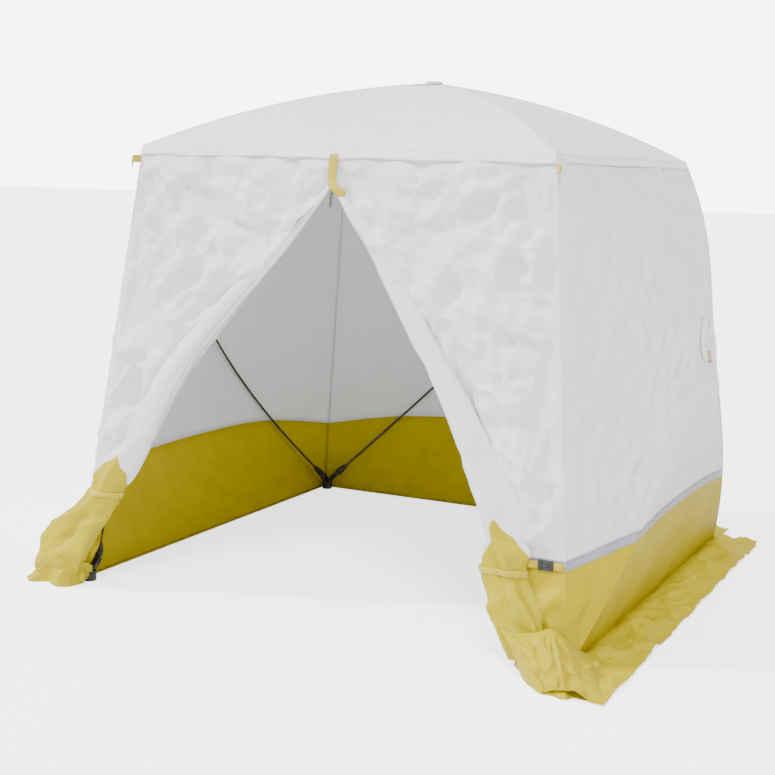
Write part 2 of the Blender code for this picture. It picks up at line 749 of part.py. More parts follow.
def torus(radius, wire):
    """A ring in the XZ plane that hangs from the origin."""
    bm = bmesh.new()
    bmesh.ops.create_circle(bm, segments=WIRE_SIDES, radius=wire)
    bmesh.ops.translate(bm, vec=(radius, 0, 0), verts=bm.verts)
    bmesh.ops.rotate(bm, matrix=Matrix.Rotation(pi / 2, 3, "X"), verts=bm.verts)
    bmesh.ops.spin(
        bm, geom=bm.verts[:] + bm.edges[:], axis=(0, 0, 1), cent=(0, 0, 0), angle=2 * pi, steps=RING_STEPS
    )
    bmesh.ops.remove_doubles(bm, verts=bm.verts, dist=1e-6)
    bmesh.ops.rotate(bm, matrix=Matrix.Rotation(pi / 2, 3, "X"), verts=bm.verts)
    bmesh.ops.translate(bm, vec=(0, 0, -radius), verts=bm.verts)
    return bm


def corner_rings():
    """A webbing tab at each front top corner, with a steel ring that swings in its eye."""
    for side, sign in (("left", -1), ("right", 1)):
        out = Vector((sign, -1, 0))
        start = CORNERS[f"top_front_{side}"] + out * LEAN * TAB_DROP - Vector((0, 0, TAB_DROP))
        frame = frame_of(start + out.normalized() * TAB_START, out, Vector((0, 0, 1)))
        tab = box((TAB_LENGTH, TAB_THICK, TAB_WIDTH), (TAB_LENGTH / 2, 0, 0))
        obj = new_object(f"ring_tab_{side}", tab, "yellow_webbing", frame)
        eye_x = TAB_LENGTH - RING_EDGE
        window = box((3 * RING_WIRE, 4 * TAB_THICK, TAB_WIDTH / 2), (eye_x, 0, 0))
        combine(obj, helper(f"window_{side}", window, frame), "DIFFERENCE")
        ring_frame = frame @ Matrix.Translation((eye_x, 0, 0)) @ Matrix.Rotation(pi / 2, 4, "Z")
        new_object(f"ring_{side}", torus(RING_RADIUS, RING_WIRE), "ring_steel", ring_frame, smooth_angle=60)


def build():
    clear_scene()
    roof()
    walls()
    seam_tape()
    skirts()
    door_flaps()
    zip_tapes()
    zip_slider()
    zip_top_strap()
    rods()
    for corner in CORNERS:
        fitting(corner)
    for panel in PANELS.values():
        hub(panel)
    buckles()
    corner_rings()


build()
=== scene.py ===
"""Pop-up work tent: a white and yellow shell on hubs and glass-fibre rods, with its front door tied open.

Frame: +X right, +Y from the door to the back wall, +Z up, origin on the floor under the roof's middle.
"""

import logging
from dataclasses import dataclass
from enum import Enum
from math import atan2, cos, pi, radians, sin, sqrt
from random import Random
from typing import Callable, Sequence

import bmesh
import bpy
from mathutils import Matrix, Vector, noise


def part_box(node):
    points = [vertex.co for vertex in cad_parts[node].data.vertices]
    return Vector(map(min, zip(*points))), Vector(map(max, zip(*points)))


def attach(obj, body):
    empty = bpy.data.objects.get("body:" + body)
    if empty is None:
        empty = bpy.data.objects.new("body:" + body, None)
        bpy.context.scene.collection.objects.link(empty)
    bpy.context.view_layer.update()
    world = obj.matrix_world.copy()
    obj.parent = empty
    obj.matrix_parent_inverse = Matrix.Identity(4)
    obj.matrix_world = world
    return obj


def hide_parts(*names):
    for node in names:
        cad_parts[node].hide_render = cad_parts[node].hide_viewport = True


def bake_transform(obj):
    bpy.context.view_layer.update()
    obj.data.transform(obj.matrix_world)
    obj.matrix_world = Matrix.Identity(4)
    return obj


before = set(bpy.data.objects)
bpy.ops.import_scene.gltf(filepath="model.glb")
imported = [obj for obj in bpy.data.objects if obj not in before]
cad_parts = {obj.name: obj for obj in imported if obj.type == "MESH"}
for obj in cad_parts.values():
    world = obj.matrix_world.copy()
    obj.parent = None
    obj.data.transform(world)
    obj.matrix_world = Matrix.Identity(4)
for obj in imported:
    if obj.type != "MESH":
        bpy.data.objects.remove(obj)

LOG = logging.getLogger("tent")
Colour = tuple[float, float, float]
Surface = Callable[[float, float], Vector]

# noise_vector's offsets come from the clock unless they are seeded, and the creases would then fall
# in other places on each run.
FOLD_SEED = 1_795_093_690


# Sizes


@dataclass(frozen=True)
class TentSizes:
    """The shell's overall sizes, in metres, as the frame has them."""

    base_half: float = 0.90
    eaves_half: float = 0.74
    eaves_height: float = 1.51
    hub_height: float = 0.88
    wall_throw: float = 0.24
    roof_throw: float = 0.25
    bow: float = 0.045
    skirt_width: float = 0.20
    zip_drop: float = 0.113
    zip_floor_gap: float = 0.035
    tie_height: float = 0.30
    tape_inset: float = 0.016

    @property
    def lean(self) -> float:
        """How far the walls lean in for each metre up."""
        return (self.base_half - self.eaves_half) / self.eaves_height

    @property
    def slant(self) -> float:
        """Length along a wall for each metre up."""
        return sqrt(1 + self.lean**2)

    @property
    def zip_top(self) -> float:
        """Height of the zip's top end."""
        return self.eaves_height - self.zip_drop

    @property
    def zip_length(self) -> float:
        """Length of the zip along the front wall."""
        return (self.zip_top - self.zip_floor_gap) * self.slant

    @property
    def tape_angle(self) -> float:
        """Angle of each folded-back zip tape, from upright."""
        reach = self.wall_at(self.tie_height) - self.tape_inset
        return atan2(reach, (self.zip_top - self.tie_height) * self.slant)

    def wall_at(self, height: float) -> float:
        """Distance of a wall's plane from the middle at a height."""
        return self.base_half - self.lean * height

    def on_front(self, x: float, height: float, out: float = 0.0) -> Vector:
        """A point on the front wall's plane, or out from it."""
        normal = Vector((0, -1, self.lean)) / self.slant
        return Vector((x, -self.wall_at(height), height)) + normal * out


TENT = TentSizes()


def smooth(low: float, high: float, value: float) -> float:
    """Rises from 0 at low to 1 at high, with level ends."""
    t = min(max((value - low) / (high - low), 0.0), 1.0)
    return t * t * (3 - 2 * t)


def mix(a: float, b: float, t: float) -> float:
    """The value a share t of the way from a to b."""
    return a + (b - a) * t


def hypotenuse(a: float, b: float) -> float:
    """The long side of a right triangle."""
    return sqrt(a * a + b * b)


def zigzag(turn: float) -> float:
    """A straight-sided wave: -1 at the ends of each turn and 1 halfway."""
    return 1 - 2 * abs(2 * (turn % 1.0) - 1)


def along(points: Sequence[Sequence[float]], t: float) -> list[float]:
    """A smooth curve through rows of numbers.

    Args:
        points: rows of equal length, the first at t 0 and the last at t 1.
        t: from 0 to 1.

    Returns:
        The row at t.
    """
    place = min(max(t, 0.0), 1.0) * (len(points) - 1)
    i = min(int(place), len(points) - 2)
    f = place - i
    p0, p1, p2, p3 = (points[min(max(k, 0), len(points) - 1)] for k in (i - 1, i, i + 1, i + 2))
    return [
        0.5 * (2 * b + (c - a) * f + (2 * a - 5 * b + 4 * c - d) * f**2 + (3 * b - a - 3 * c + d) * f**3)
        for a, b, c, d in zip(p0, p1, p2, p3)
    ]


def value_at(table: Sequence[tuple[float, float]], x: float) -> float:
    """Reads a table of (x, y) pairs in falling or rising x, smoothly between its rows.

    Args:
        table: (x, y) pairs in any order.
        x: where to read it.

    Returns:
        The value at x, or that of the nearest end.
    """
    rows = sorted(table)
    if x <= rows[0][0]:
        return rows[0][1]
    for (xa, ya), (xb, yb) in zip(rows, rows[1:]):
        if x <= xb:
            return mix(ya, yb, (x - xa) / (xb - xa))
    return rows[-1][1]


# Finishes


class Graph:
    """A material's nodes, added one at a time."""

    def __init__(self, name: str) -> None:
        """Starts an empty material."""
        self.material = bpy.data.materials.new(name)
        self.material.use_nodes = True
        self.tree = self.material.node_tree
        self.tree.nodes.clear()
        self.coords = self.add("ShaderNodeTexCoord")

    def add(self, kind: str, settings: dict | None = None, **inputs: object) -> bpy.types.Node:
        """Adds a node.

        Args:
            kind: the node's type name.
            settings: its own properties.
            inputs: socket names, with _ for a space, and a value or the output that feeds each.

        Returns:
            The node.
        """
        node = self.tree.nodes.new(kind)
        for name, value in (settings or {}).items():
            setattr(node, name, value)
        for name, value in inputs.items():
            socket = node.inputs[int(name[1:])] if name[0] == "i" and name[1:].isdigit() else (
                node.inputs[name.replace("_", " ")])
            if isinstance(value, bpy.types.NodeSocket):
                self.tree.links.new(value, socket)
            else:
                socket.default_value = value
        return node

    def noise(self, scale: float, detail: float = 4, rough: float = 0.5, kind: str = "FBM",
              warp: float = 0.0) -> bpy.types.NodeSocket:
        """A noise over the object's own coordinates, in features for each metre."""
        node = self.add("ShaderNodeTexNoise", {"noise_type": kind}, Vector=self.coords.outputs["Object"],
                        Scale=scale, Detail=detail, Roughness=rough, Distortion=warp)
        return node.outputs["Fac"]

    def threads(self, scale: float) -> bpy.types.NodeSocket:
        """A plain weave: crossed bands of threads.

        Args:
            scale: threads for each metre.

        Returns:
            Height of the weave.
        """
        total = None
        for axis in "XYZ":
            wave = self.add("ShaderNodeTexWave", {"wave_type": "BANDS", "bands_direction": axis},
                            Vector=self.coords.outputs["Object"], Scale=scale, Distortion=0.4)
            total = wave.outputs["Fac"] if total is None else self.math("ADD", total, wave.outputs["Fac"])
        return total

    def math(self, operation: str, a: object, b: object) -> bpy.types.NodeSocket:
        """One sum of two values or outputs."""
        return self.add("ShaderNodeMath", {"operation": operation}, i0=a, i1=b).outputs[0]

    def range(self, value: bpy.types.NodeSocket, low: float, high: float, to_low: float = 0.0,
              to_high: float = 1.0) -> bpy.types.NodeSocket:
        """Stretches a value from one range to another."""
        node = self.add("ShaderNodeMapRange", None, Value=value, From_Min=low, From_Max=high,
                        To_Min=to_low, To_Max=to_high)
        return node.outputs["Result"]

    def blend(self, factor: object, a: object, b: object) -> bpy.types.NodeSocket:
        """A colour between two.

        Args:
            factor: share of the second colour.
            a: first colour or output.
            b: second colour or output.

        Returns:
            The blended colour.
        """
        node = self.add("ShaderNodeMix", {"data_type": "RGBA"})
        for socket, value in ((node.inputs[0], factor), (node.inputs[6], a), (node.inputs[7], b)):
            if isinstance(value, bpy.types.NodeSocket):
                self.tree.links.new(value, socket)
            else:
                socket.default_value = value if isinstance(value, float) else (*value, 1.0)
        return node.outputs[2]

    def bump(self, height: bpy.types.NodeSocket, distance: float,
             normal: bpy.types.NodeSocket | None = None, strength: float = 1.0) -> bpy.types.NodeSocket:
        """Roughens the surface by a height map, on top of another bump."""
        inputs = {"Height": height, "Distance": distance, "Strength": strength}
        if normal is not None:
            inputs["Normal"] = normal
        return self.add("ShaderNodeBump", None, **inputs).outputs["Normal"]

    def finish(self, shader: bpy.types.NodeSocket) -> bpy.types.Material:
        """Connects the output and returns the material."""
        self.add("ShaderNodeOutputMaterial", None, Surface=shader)
        return self.material


@dataclass(frozen=True)
class Cloth:
    """Woven, coated cloth."""

    name: str
    colour: Colour
    shade: Colour
    roughness: float = 0.55
    sheen: float = 0.15
    coat: float = 0.0
    glow: float = 0.08  # share of light that comes through
    weave: float = 260.0
    crease: float = 0.004  # height of the small creases
    crease_scale: float = 7.0
    specular: float = 0.5

    def make(self) -> bpy.types.Material:
        """Builds the material."""
        g = Graph(self.name)
        broad = g.noise(2.3, 3, 0.55)
        cloudy = g.noise(11.0, 5, 0.6)
        tone = g.math("ADD", g.range(broad, 0.3, 0.7, 0.0, 0.6), g.range(cloudy, 0.35, 0.65, 0.0, 0.4))
        colour = g.blend(tone, self.colour, self.shade)
        ridges = g.noise(self.crease_scale, 6, 0.55, "RIDGED_MULTIFRACTAL", 0.6)
        folds = g.bump(ridges, self.crease, strength=0.5)
        grain = g.bump(g.noise(self.crease_scale * 6, 4, 0.6), self.crease * 0.25, folds, 0.5)
        weave = g.bump(g.threads(self.weave), 0.00025, grain, 0.4)
        rough = g.range(cloudy, 0.3, 0.7, self.roughness - 0.06, self.roughness + 0.08)
        shader = g.add("ShaderNodeBsdfPrincipled", None, Base_Color=colour, Roughness=rough, Normal=weave,
                       Sheen_Weight=self.sheen, Sheen_Roughness=0.5, Coat_Weight=self.coat,
                       Specular_IOR_Level=self.specular, Coat_Roughness=0.3)
        if not self.glow:
            return g.finish(shader.outputs[0])
        through = g.add("ShaderNodeBsdfTranslucent", None, Color=colour, Normal=weave)
        both = g.add("ShaderNodeMixShader", None, i0=self.glow, i1=shader.outputs[0], i2=through.outputs[0])
        return g.finish(both.outputs[0])


@dataclass(frozen=True)
class Stitched(Cloth):
    """Cloth with a row of stitches near each side of a band."""

    pitch: float = 0.0045
    row: float = 0.16  # of the band's width, from each side

    def make(self) -> bpy.types.Material:
        """Builds the material."""
        g = Graph(self.name)
        place = g.add("ShaderNodeSeparateXYZ", None, Vector=g.coords.outputs["UV"])
        side = g.math("ABSOLUTE", g.math("SUBTRACT", place.outputs["X"], 0.5), 0.0)
        row = g.math("LESS_THAN", g.math("ABSOLUTE", g.math("SUBTRACT", side, 0.5 - self.row), 0.0), 0.035)
        step = g.math("FRACT", g.math("DIVIDE", place.outputs["Y"], self.pitch), 0.0)
        stitch = g.math("MULTIPLY", row, g.math("LESS_THAN", step, 0.68))
        cloudy = g.noise(11.0, 5, 0.6)
        cloth = g.blend(g.range(cloudy, 0.35, 0.65), self.colour, self.shade)
        colour = g.blend(stitch, cloth, tuple(0.62 * part for part in self.shade))
        weave = g.bump(g.threads(self.weave), 0.00025, None, 0.4)
        sewn = g.bump(stitch, 0.0006, weave, 0.7)
        puckered = g.bump(g.noise(self.crease_scale * 9, 3, 0.6), 0.0012, sewn, 0.5)
        rough = g.range(cloudy, 0.3, 0.7, self.roughness - 0.06, self.roughness + 0.08)
        shader = g.add("ShaderNodeBsdfPrincipled", None, Base_Color=colour, Roughness=rough,
                       Normal=puckered, Sheen_Weight=self.sheen, Specular_IOR_Level=self.specular)
        return g.finish(shader.outputs[0])


@dataclass(frozen=True)
class Webbing:
    """Narrow woven tape with ribs across it."""

    name: str
    colour: Colour
    shade: Colour
    roughness: float = 0.7
    ribs: float = 190.0

    def make(self) -> bpy.types.Material:
        """Builds the material."""
        g = Graph(self.name)
        fuzz = g.noise(60.0, 4, 0.6)
        colour = g.blend(g.range(fuzz, 0.3, 0.7), self.colour, self.shade)
        ribbed = g.bump(g.threads(self.ribs), 0.0006, None, 0.6)
        rough = g.range(fuzz, 0.3, 0.7, self.roughness - 0.08, self.roughness + 0.08)
        shader = g.add("ShaderNodeBsdfPrincipled", None, Base_Color=colour, Roughness=rough, Normal=ribbed,
                       Sheen_Weight=0.25)
        return g.finish(shader.outputs[0])


@dataclass(frozen=True)
class Moulded:
    """Moulded plastic, a glass-fibre rod or plated metal, with wear."""

    name: str
    colour: Colour
    worn: Colour
    roughness: float = 0.45
    metallic: float = 0.0
    grain: float = 0.0004
    grain_scale: float = 220.0

    def make(self) -> bpy.types.Material:
        """Builds the material."""
        g = Graph(self.name)
        scuffs = g.noise(38.0, 6, 0.65)
        colour = g.blend(g.range(scuffs, 0.55, 0.75), self.colour, self.worn)
        grain = g.bump(g.noise(self.grain_scale, 3, 0.6), self.grain, None, 0.4)
        rough = g.range(scuffs, 0.3, 0.7, self.roughness - 0.08, self.roughness + 0.12)
        shader = g.add("ShaderNodeBsdfPrincipled", None, Base_Color=colour, Roughness=rough, Normal=grain,
                       Metallic=self.metallic)
        return g.finish(shader.outputs[0])


class Finish(Enum):
    """Every finish on the tent, with the name of the record's slot beside it, which nothing here reads."""

    # ROOF is the walls' white cloth painted lighter (0.90 against 0.82): painted light from above on the
    # shell's top.
    ROOF = ("white_fabric", Cloth("white_roof", (0.90, 0.90, 0.895), (0.87, 0.87, 0.87), crease=0.0012))
    WHITE = ("white_fabric", Cloth("white_wall", (0.82, 0.825, 0.83), (0.77, 0.775, 0.79), crease=0.0016))
    DOOR = ("white_fabric", Cloth("white_door", (0.83, 0.83, 0.825), (0.76, 0.765, 0.77), crease=0.005))
    YELLOW = ("yellow_fabric", Cloth("yellow_wall", (0.52, 0.41, 0.0), (0.45, 0.345, 0.0), 0.5, 0.0,
                                     0.0, 0.06, crease=0.003, specular=0.12))
    SKIRT = ("yellow_fabric", Cloth("yellow_skirt", (0.48, 0.39, 0.0), (0.40, 0.315, 0.0), 0.4, 0.0,
                                    0.0, 0.0, crease=0.006, specular=0.2))
    TAPE = ("grey_tape", Stitched("grey_seam_tape", (0.36, 0.36, 0.41), (0.30, 0.30, 0.35), 0.5, 0.1))
    PATCH = ("white_fabric", Stitched("white_binding", (0.82, 0.82, 0.82), (0.77, 0.77, 0.78), 0.6))
    HEM = ("white_fabric", Stitched("white_hem", (0.88, 0.88, 0.88), (0.84, 0.84, 0.84), 0.6, row=0.10))
    YELLOW_PATCH = ("yellow_fabric", Stitched("yellow_binding", (0.54, 0.42, 0.0), (0.46, 0.35, 0.0), 0.5,
                                              0.0, specular=0.2))
    STRAP = ("yellow_webbing", Webbing("yellow_strap", (0.58, 0.45, 0.0), (0.48, 0.36, 0.0)))
    ZIP = ("white_zip", Webbing("zip_tape", (0.72, 0.72, 0.70), (0.6, 0.6, 0.58), 0.6, 320))
    THREAD = ("white_fabric", Webbing("thread", (0.66, 0.67, 0.68), (0.55, 0.56, 0.58), 0.7, 500))
    SLIDER = ("zip_metal", Moulded("zip_slider", (0.18, 0.18, 0.18), (0.35, 0.35, 0.34), 0.35, 0.9))
    ROD = ("rod_black", Moulded("glass_fibre", (0.022, 0.019, 0.016), (0.06, 0.05, 0.04), 0.34))
    BLACK = ("black_plastic", Moulded("black_nylon", (0.02, 0.02, 0.022), (0.07, 0.07, 0.07), 0.45))
    GREY = ("grey_plastic", Moulded("grey_nylon", (0.25, 0.25, 0.26), (0.38, 0.38, 0.38), 0.5))
    PALE = ("grey_plastic", Moulded("pale_nylon", (0.66, 0.66, 0.65), (0.52, 0.52, 0.50), 0.5))
    STEEL = ("ring_steel", Moulded("plated_steel", (0.55, 0.55, 0.56), (0.4, 0.36, 0.3), 0.28, 1.0))

    def material(self) -> bpy.types.Material:
        """The finish's material, made once."""
        look = self.value[1]
        return bpy.data.materials.get(look.name) or look.make()

    def paint(self, obj: bpy.types.Object) -> None:
        """Gives a piece this finish."""
        obj.data.materials.clear()
        obj.data.materials.append(self.material())


# Meshes


def new_object(name: str, bm: bmesh.types.BMesh, finish: Finish, flat: bool = False) -> bpy.types.Object:
    """Makes an object from a mesh, smooth unless it is said to be flat.

    Args:
        name: the piece's name.
        bm: its mesh, which is freed.
        finish: its finish.
        flat: keeps its faces flat.

    Returns:
        The object.
    """
    mesh = bpy.data.meshes.new(name)
    bm.to_mesh(mesh)
    bm.free()
    obj = bpy.data.objects.new(name, mesh)
    bpy.context.scene.collection.objects.link(obj)
    if not flat:
        mesh.shade_smooth()
    finish.paint(obj)
    return obj


def grid(place: Surface, columns: int, rows: int, closed: bool = False) -> bmesh.types.BMesh:
    """A sheet of faces over u and v from 0 to 1.

    Args:
        place: gives the point at (u, v).
        columns: faces along u.
        rows: faces along v.
        closed: u 1 joins u 0.

    Returns:
        The mesh.
    """
    bm = bmesh.new()
    across = columns if closed else columns + 1
    points = [[bm.verts.new(place(i / columns, j / rows)) for i in range(across)] for j in range(rows + 1)]
    layer = bm.loops.layers.uv.new("cut")
    middle = [line[columns // 2].co for line in points]
    reach = [0.0]
    for a, b in zip(middle, middle[1:]):
        reach.append(reach[-1] + (b - a).length)
    for j, (low, high) in enumerate(zip(points, points[1:])):
        for i in range(columns):
            k = (i + 1) % across
            face = bm.faces.new((low[i], low[k], high[k], high[i]))
            cut = ((i, j), (i + 1, j), (i + 1, j + 1), (i, j + 1))
            for loop, (a, b) in zip(face.loops, cut):
                loop[layer].uv = (a / columns, reach[b])
    return bm


def turned(place: Surface) -> Surface:
    """The same surface with its two directions changed over, so that a band's length runs along v."""
    return lambda u, v: place(v, u)


def trim(bm: bmesh.types.BMesh, line: Callable[[Vector], float], keep_above: bool) -> None:
    """Cuts a sheet along a line of changing height and keeps one side.

    Args:
        bm: the sheet.
        line: gives the cut's height at a point.
        keep_above: keeps what is over the line.
    """
    for vert in bm.verts:
        vert.co.z -= line(vert.co)
    bmesh.ops.bisect_plane(bm, geom=bm.verts[:] + bm.edges[:] + bm.faces[:], plane_co=(0, 0, 0),
                           plane_no=(0, 0, 1), clear_inner=keep_above, clear_outer=not keep_above)
    for vert in bm.verts:
        vert.co.z += line(vert.co)


def lift(bm: bmesh.types.BMesh, away_from: Vector, distance: float) -> None:
    """Moves a sheet off its own surface, away from a point."""
    bm.normal_update()
    steps = [vert.normal * (1 if vert.normal.dot(vert.co - away_from) > 0 else -1) for vert in bm.verts]
    for vert, step in zip(bm.verts, steps):
        vert.co += step * distance


def bevelled_box(size: Sequence[float], centre: Sequence[float], edge: float, segments: int = 3
                 ) -> bmesh.types.BMesh:
    """A box with rounded edges.

    Args:
        size: its three sides.
        centre: its middle.
        edge: width of the bevel.
        segments: steps in the bevel.

    Returns:
        The mesh.
    """
    bm = bmesh.new()
    bmesh.ops.create_cube(bm, size=1)
    bmesh.ops.scale(bm, vec=size, verts=bm.verts)
    bmesh.ops.translate(bm, vec=centre, verts=bm.verts)
    bmesh.ops.bevel(bm, geom=bm.edges[:], offset=edge, segments=segments, affect="EDGES", profile=0.6)
    return bm


def join(parts: Sequence[bmesh.types.BMesh]) -> bmesh.types.BMesh:
    """Puts several meshes into the first one.

    Args:
        parts: the meshes. All but the first are freed.

    Returns:
        The first mesh, with the rest in it.
    """
    whole = parts[0]
    for part in parts[1:]:
        mesh = bpy.data.meshes.new("part")
        part.to_mesh(mesh)
        part.free()
        whole.from_mesh(mesh)
        bpy.data.meshes.remove(mesh)
    return whole


def tube(points: Sequence[Vector], radii: Sequence[float], sides: int = 12) -> bmesh.types.BMesh:
    """A round tube along points, with a radius at each and closed ends.

    Args:
        points: its middle line.
        radii: one for each point.
        sides: faces round it.

    Returns:
        The mesh.
    """
    bm = bmesh.new()
    rings = []
    side = Vector((0, 0, 1)).cross(points[1] - points[0])
    if side.length < 1e-4:
        side = Vector((1, 0, 0))
    for i, (point, radius) in enumerate(zip(points, radii)):
        ahead = (points[min(i + 1, len(points) - 1)] - points[max(i - 1, 0)]).normalized()
        side = (side - ahead * side.dot(ahead)).normalized()
        up = ahead.cross(side)
        angles = [2 * pi * k / sides for k in range(sides)]
        rings.append([bm.verts.new(point + radius * (cos(a) * side + sin(a) * up)) for a in angles])
    for low, high in zip(rings, rings[1:]):
        for k in range(sides):
            bm.faces.new((low[k], low[(k + 1) % sides], high[(k + 1) % sides], high[k]))
    bm.faces.new(rings[0])
    bm.faces.new(rings[-1])
    bmesh.ops.recalc_face_normals(bm, faces=bm.faces)
    return bm


def ribbon(points: Sequence[Vector], across: Sequence[Vector], width: float, thick: float
           ) -> bmesh.types.BMesh:
    """A flat strap along points.

    Args:
        points: its middle line.
        across: a unit step across it at each point.
        width: across it.
        thick: through it.

    Returns:
        A closed mesh with square ends.
    """
    bm = bmesh.new()
    rings = []
    for i, (point, side) in enumerate(zip(points, across)):
        ahead = (points[min(i + 1, len(points) - 1)] - points[max(i - 1, 0)]).normalized()
        normal = ahead.cross(side).normalized()
        w, t = side * width / 2, normal * thick / 2
        corners = (w * 0.94 + t, w + t * 0.3, w - t * 0.3, w * 0.94 - t)
        ring = [point + c for c in corners] + [point - c for c in corners]
        rings.append([bm.verts.new(c) for c in ring])
    for low, high in zip(rings, rings[1:]):
        for k in range(8):
            bm.faces.new((low[k], low[(k + 1) % 8], high[(k + 1) % 8], high[k]))
    bm.faces.new(rings[0])
    bm.faces.new(rings[-1])
    bmesh.ops.recalc_face_normals(bm, faces=bm.faces)
    return bm


class Creases:
    """Folds pressed into cloth while it was packed: straight creases that come and go, over soft waves."""

    def __init__(self, seed: int, height: float, length: float, count: int = 8, lean: float = 0.0,
                 spread: float = pi) -> None:
        """Chooses the folds.

        Args:
            seed: of the choice.
            height: of the folds, in metres.
            length: from one fold to the next.
            count: sets of parallel folds.
            lean: the angle that the sets lie round.
            spread: how widely they turn from it.
        """
        chance = Random(seed)
        self.height = height
        self.length = length
        self.offset = Vector((seed * 3.7, seed * 1.3, 0))
        self.sets = []
        for _ in range(count):
            angle = lean + (chance.random() - 0.5) * spread
            step = length * mix(0.6, 2.0, chance.random() ** 1.5)
            self.sets.append((cos(angle), sin(angle), step, chance.random(), step / length,
                              Vector((chance.random() * 40, chance.random() * 40, chance.random() * 40))))

    def at(self, a: float, b: float) -> float:
        """Height of the cloth at (a, b) on the flat cut, in metres.

        Args:
            a: place along the cloth.
            b: place up the cloth.

        Returns:
            The height, in metres.
        """
        place = Vector((a, b, 0)) + self.offset
        warp = noise.noise_vector(place / (self.length * 5)) * self.length * 0.55
        x, y = a + warp.x, b + warp.y
        total = 0.0
        for cx, cy, step, phase, share, corner in self.sets:
            amount = smooth(-0.12, 0.22, noise.noise(place / (self.length * 2.4) + corner))
            if amount:
                turn = (x * cx + y * cy) / step + phase
                total += amount * share * zigzag(turn)
        near, next_one = noise.voronoi((place + warp * 0.6) / (self.length * 0.75))[0][:2]
        amount = smooth(-0.35, 0.15, noise.noise(place / (self.length * 1.3) - self.offset))
        total += 1.9 * amount * max(0.0, 1 - (next_one - near) / 0.26)
        soft = noise.noise(place / (self.length * 3))
        return self.height * (0.55 * total + 0.3 * soft)


# The shell


class Panel:
    """A four-cornered cloth panel that a hub pushes out into a low pyramid.

    A gore is one of its four triangles, from an edge to the hub. A point of it has a place u along the
    edge and a share s of the way to the hub.
    """

    BLEND_FROM = 0.10
    BLEND_TO = 0.93

    def __init__(self, name: str, corners: Sequence[Vector], apex: Vector, normal: Vector, throw: float
                 ) -> None:
        """Keeps the panel's flat outline, anticlockwise from outside, and where its hub stands.

        Args:
            name: the panel's name.
            corners: its four corners.
            apex: where its hub stands on the flat outline.
            normal: outwards.
            throw: how far the hub pushes the cloth out.
        """
        self.name = name
        self.corners = list(corners)
        self.apex = apex
        self.normal = normal.normalized()
        self.throw = throw
        self.hub = f"hub_{name}"

    def rise(self, s: float) -> float:
        """Height of the cloth over the flat outline."""
        return self.throw * s + 4 * TENT.bow * s * (1 - s)

    def edge(self, gore: int) -> tuple[Vector, Vector]:
        """The two ends of a gore's edge."""
        return self.corners[gore], self.corners[(gore + 1) % 4]

    def at(self, gore: int, u: float, s: float, out: float = 0.0) -> Vector:
        """A point of a gore, or out from it."""
        a, b = self.edge(gore)
        return a.lerp(b, u).lerp(self.apex, s) + self.normal * (self.rise(s) + out)

    def facing(self, gore: int, s: float) -> Vector:
        """The outward direction of a gore at a share s."""
        a, b = self.edge(gore)
        step = self.at(gore, 0.5, min(s + 0.01, 1.0)) - self.at(gore, 0.5, s)
        return (b - a).cross(step).normalized()

    def blend(self, obj: bpy.types.Object, gore: int) -> None:
        """Bakes a gore piece's transform into its mesh."""
        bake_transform(obj)

    def blend_ridge(self, obj: bpy.types.Object) -> None:
        """Bakes a ridge or rod piece's transform into its mesh."""
        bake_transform(obj)


def wall_panel(name: str, turn: float) -> Panel:
    """A wall's panel, turned about Z from the right wall's place."""
    spin = Matrix.Rotation(turn, 3, "Z")
    b, e, h = TENT.base_half, TENT.eaves_half, TENT.eaves_height
    corners = [spin @ Vector(c) for c in ((b, -b, 0), (b, b, 0), (e, e, h), (e, -e, h))]
    apex = spin @ Vector((TENT.wall_at(TENT.hub_height), 0, TENT.hub_height))
    return Panel(name, corners, apex, spin @ Vector((1, 0, TENT.lean)), TENT.wall_throw)


def roof_panel() -> Panel:
    """The roof's panel."""
    e, h = TENT.eaves_half, TENT.eaves_height
    corners = [Vector((x * e, y * e, h)) for x, y in ((-1, -1), (1, -1), (1, 1), (-1, 1))]
    return Panel("roof", corners, Vector((0, 0, h)), Vector((0, 0, 1)), TENT.roof_throw)


class Gore(Enum):
    """A wall's gores, in the order of its edges."""

    FOOT = 0
    BACK = 1
    TOP = 2
    FRONT = 3


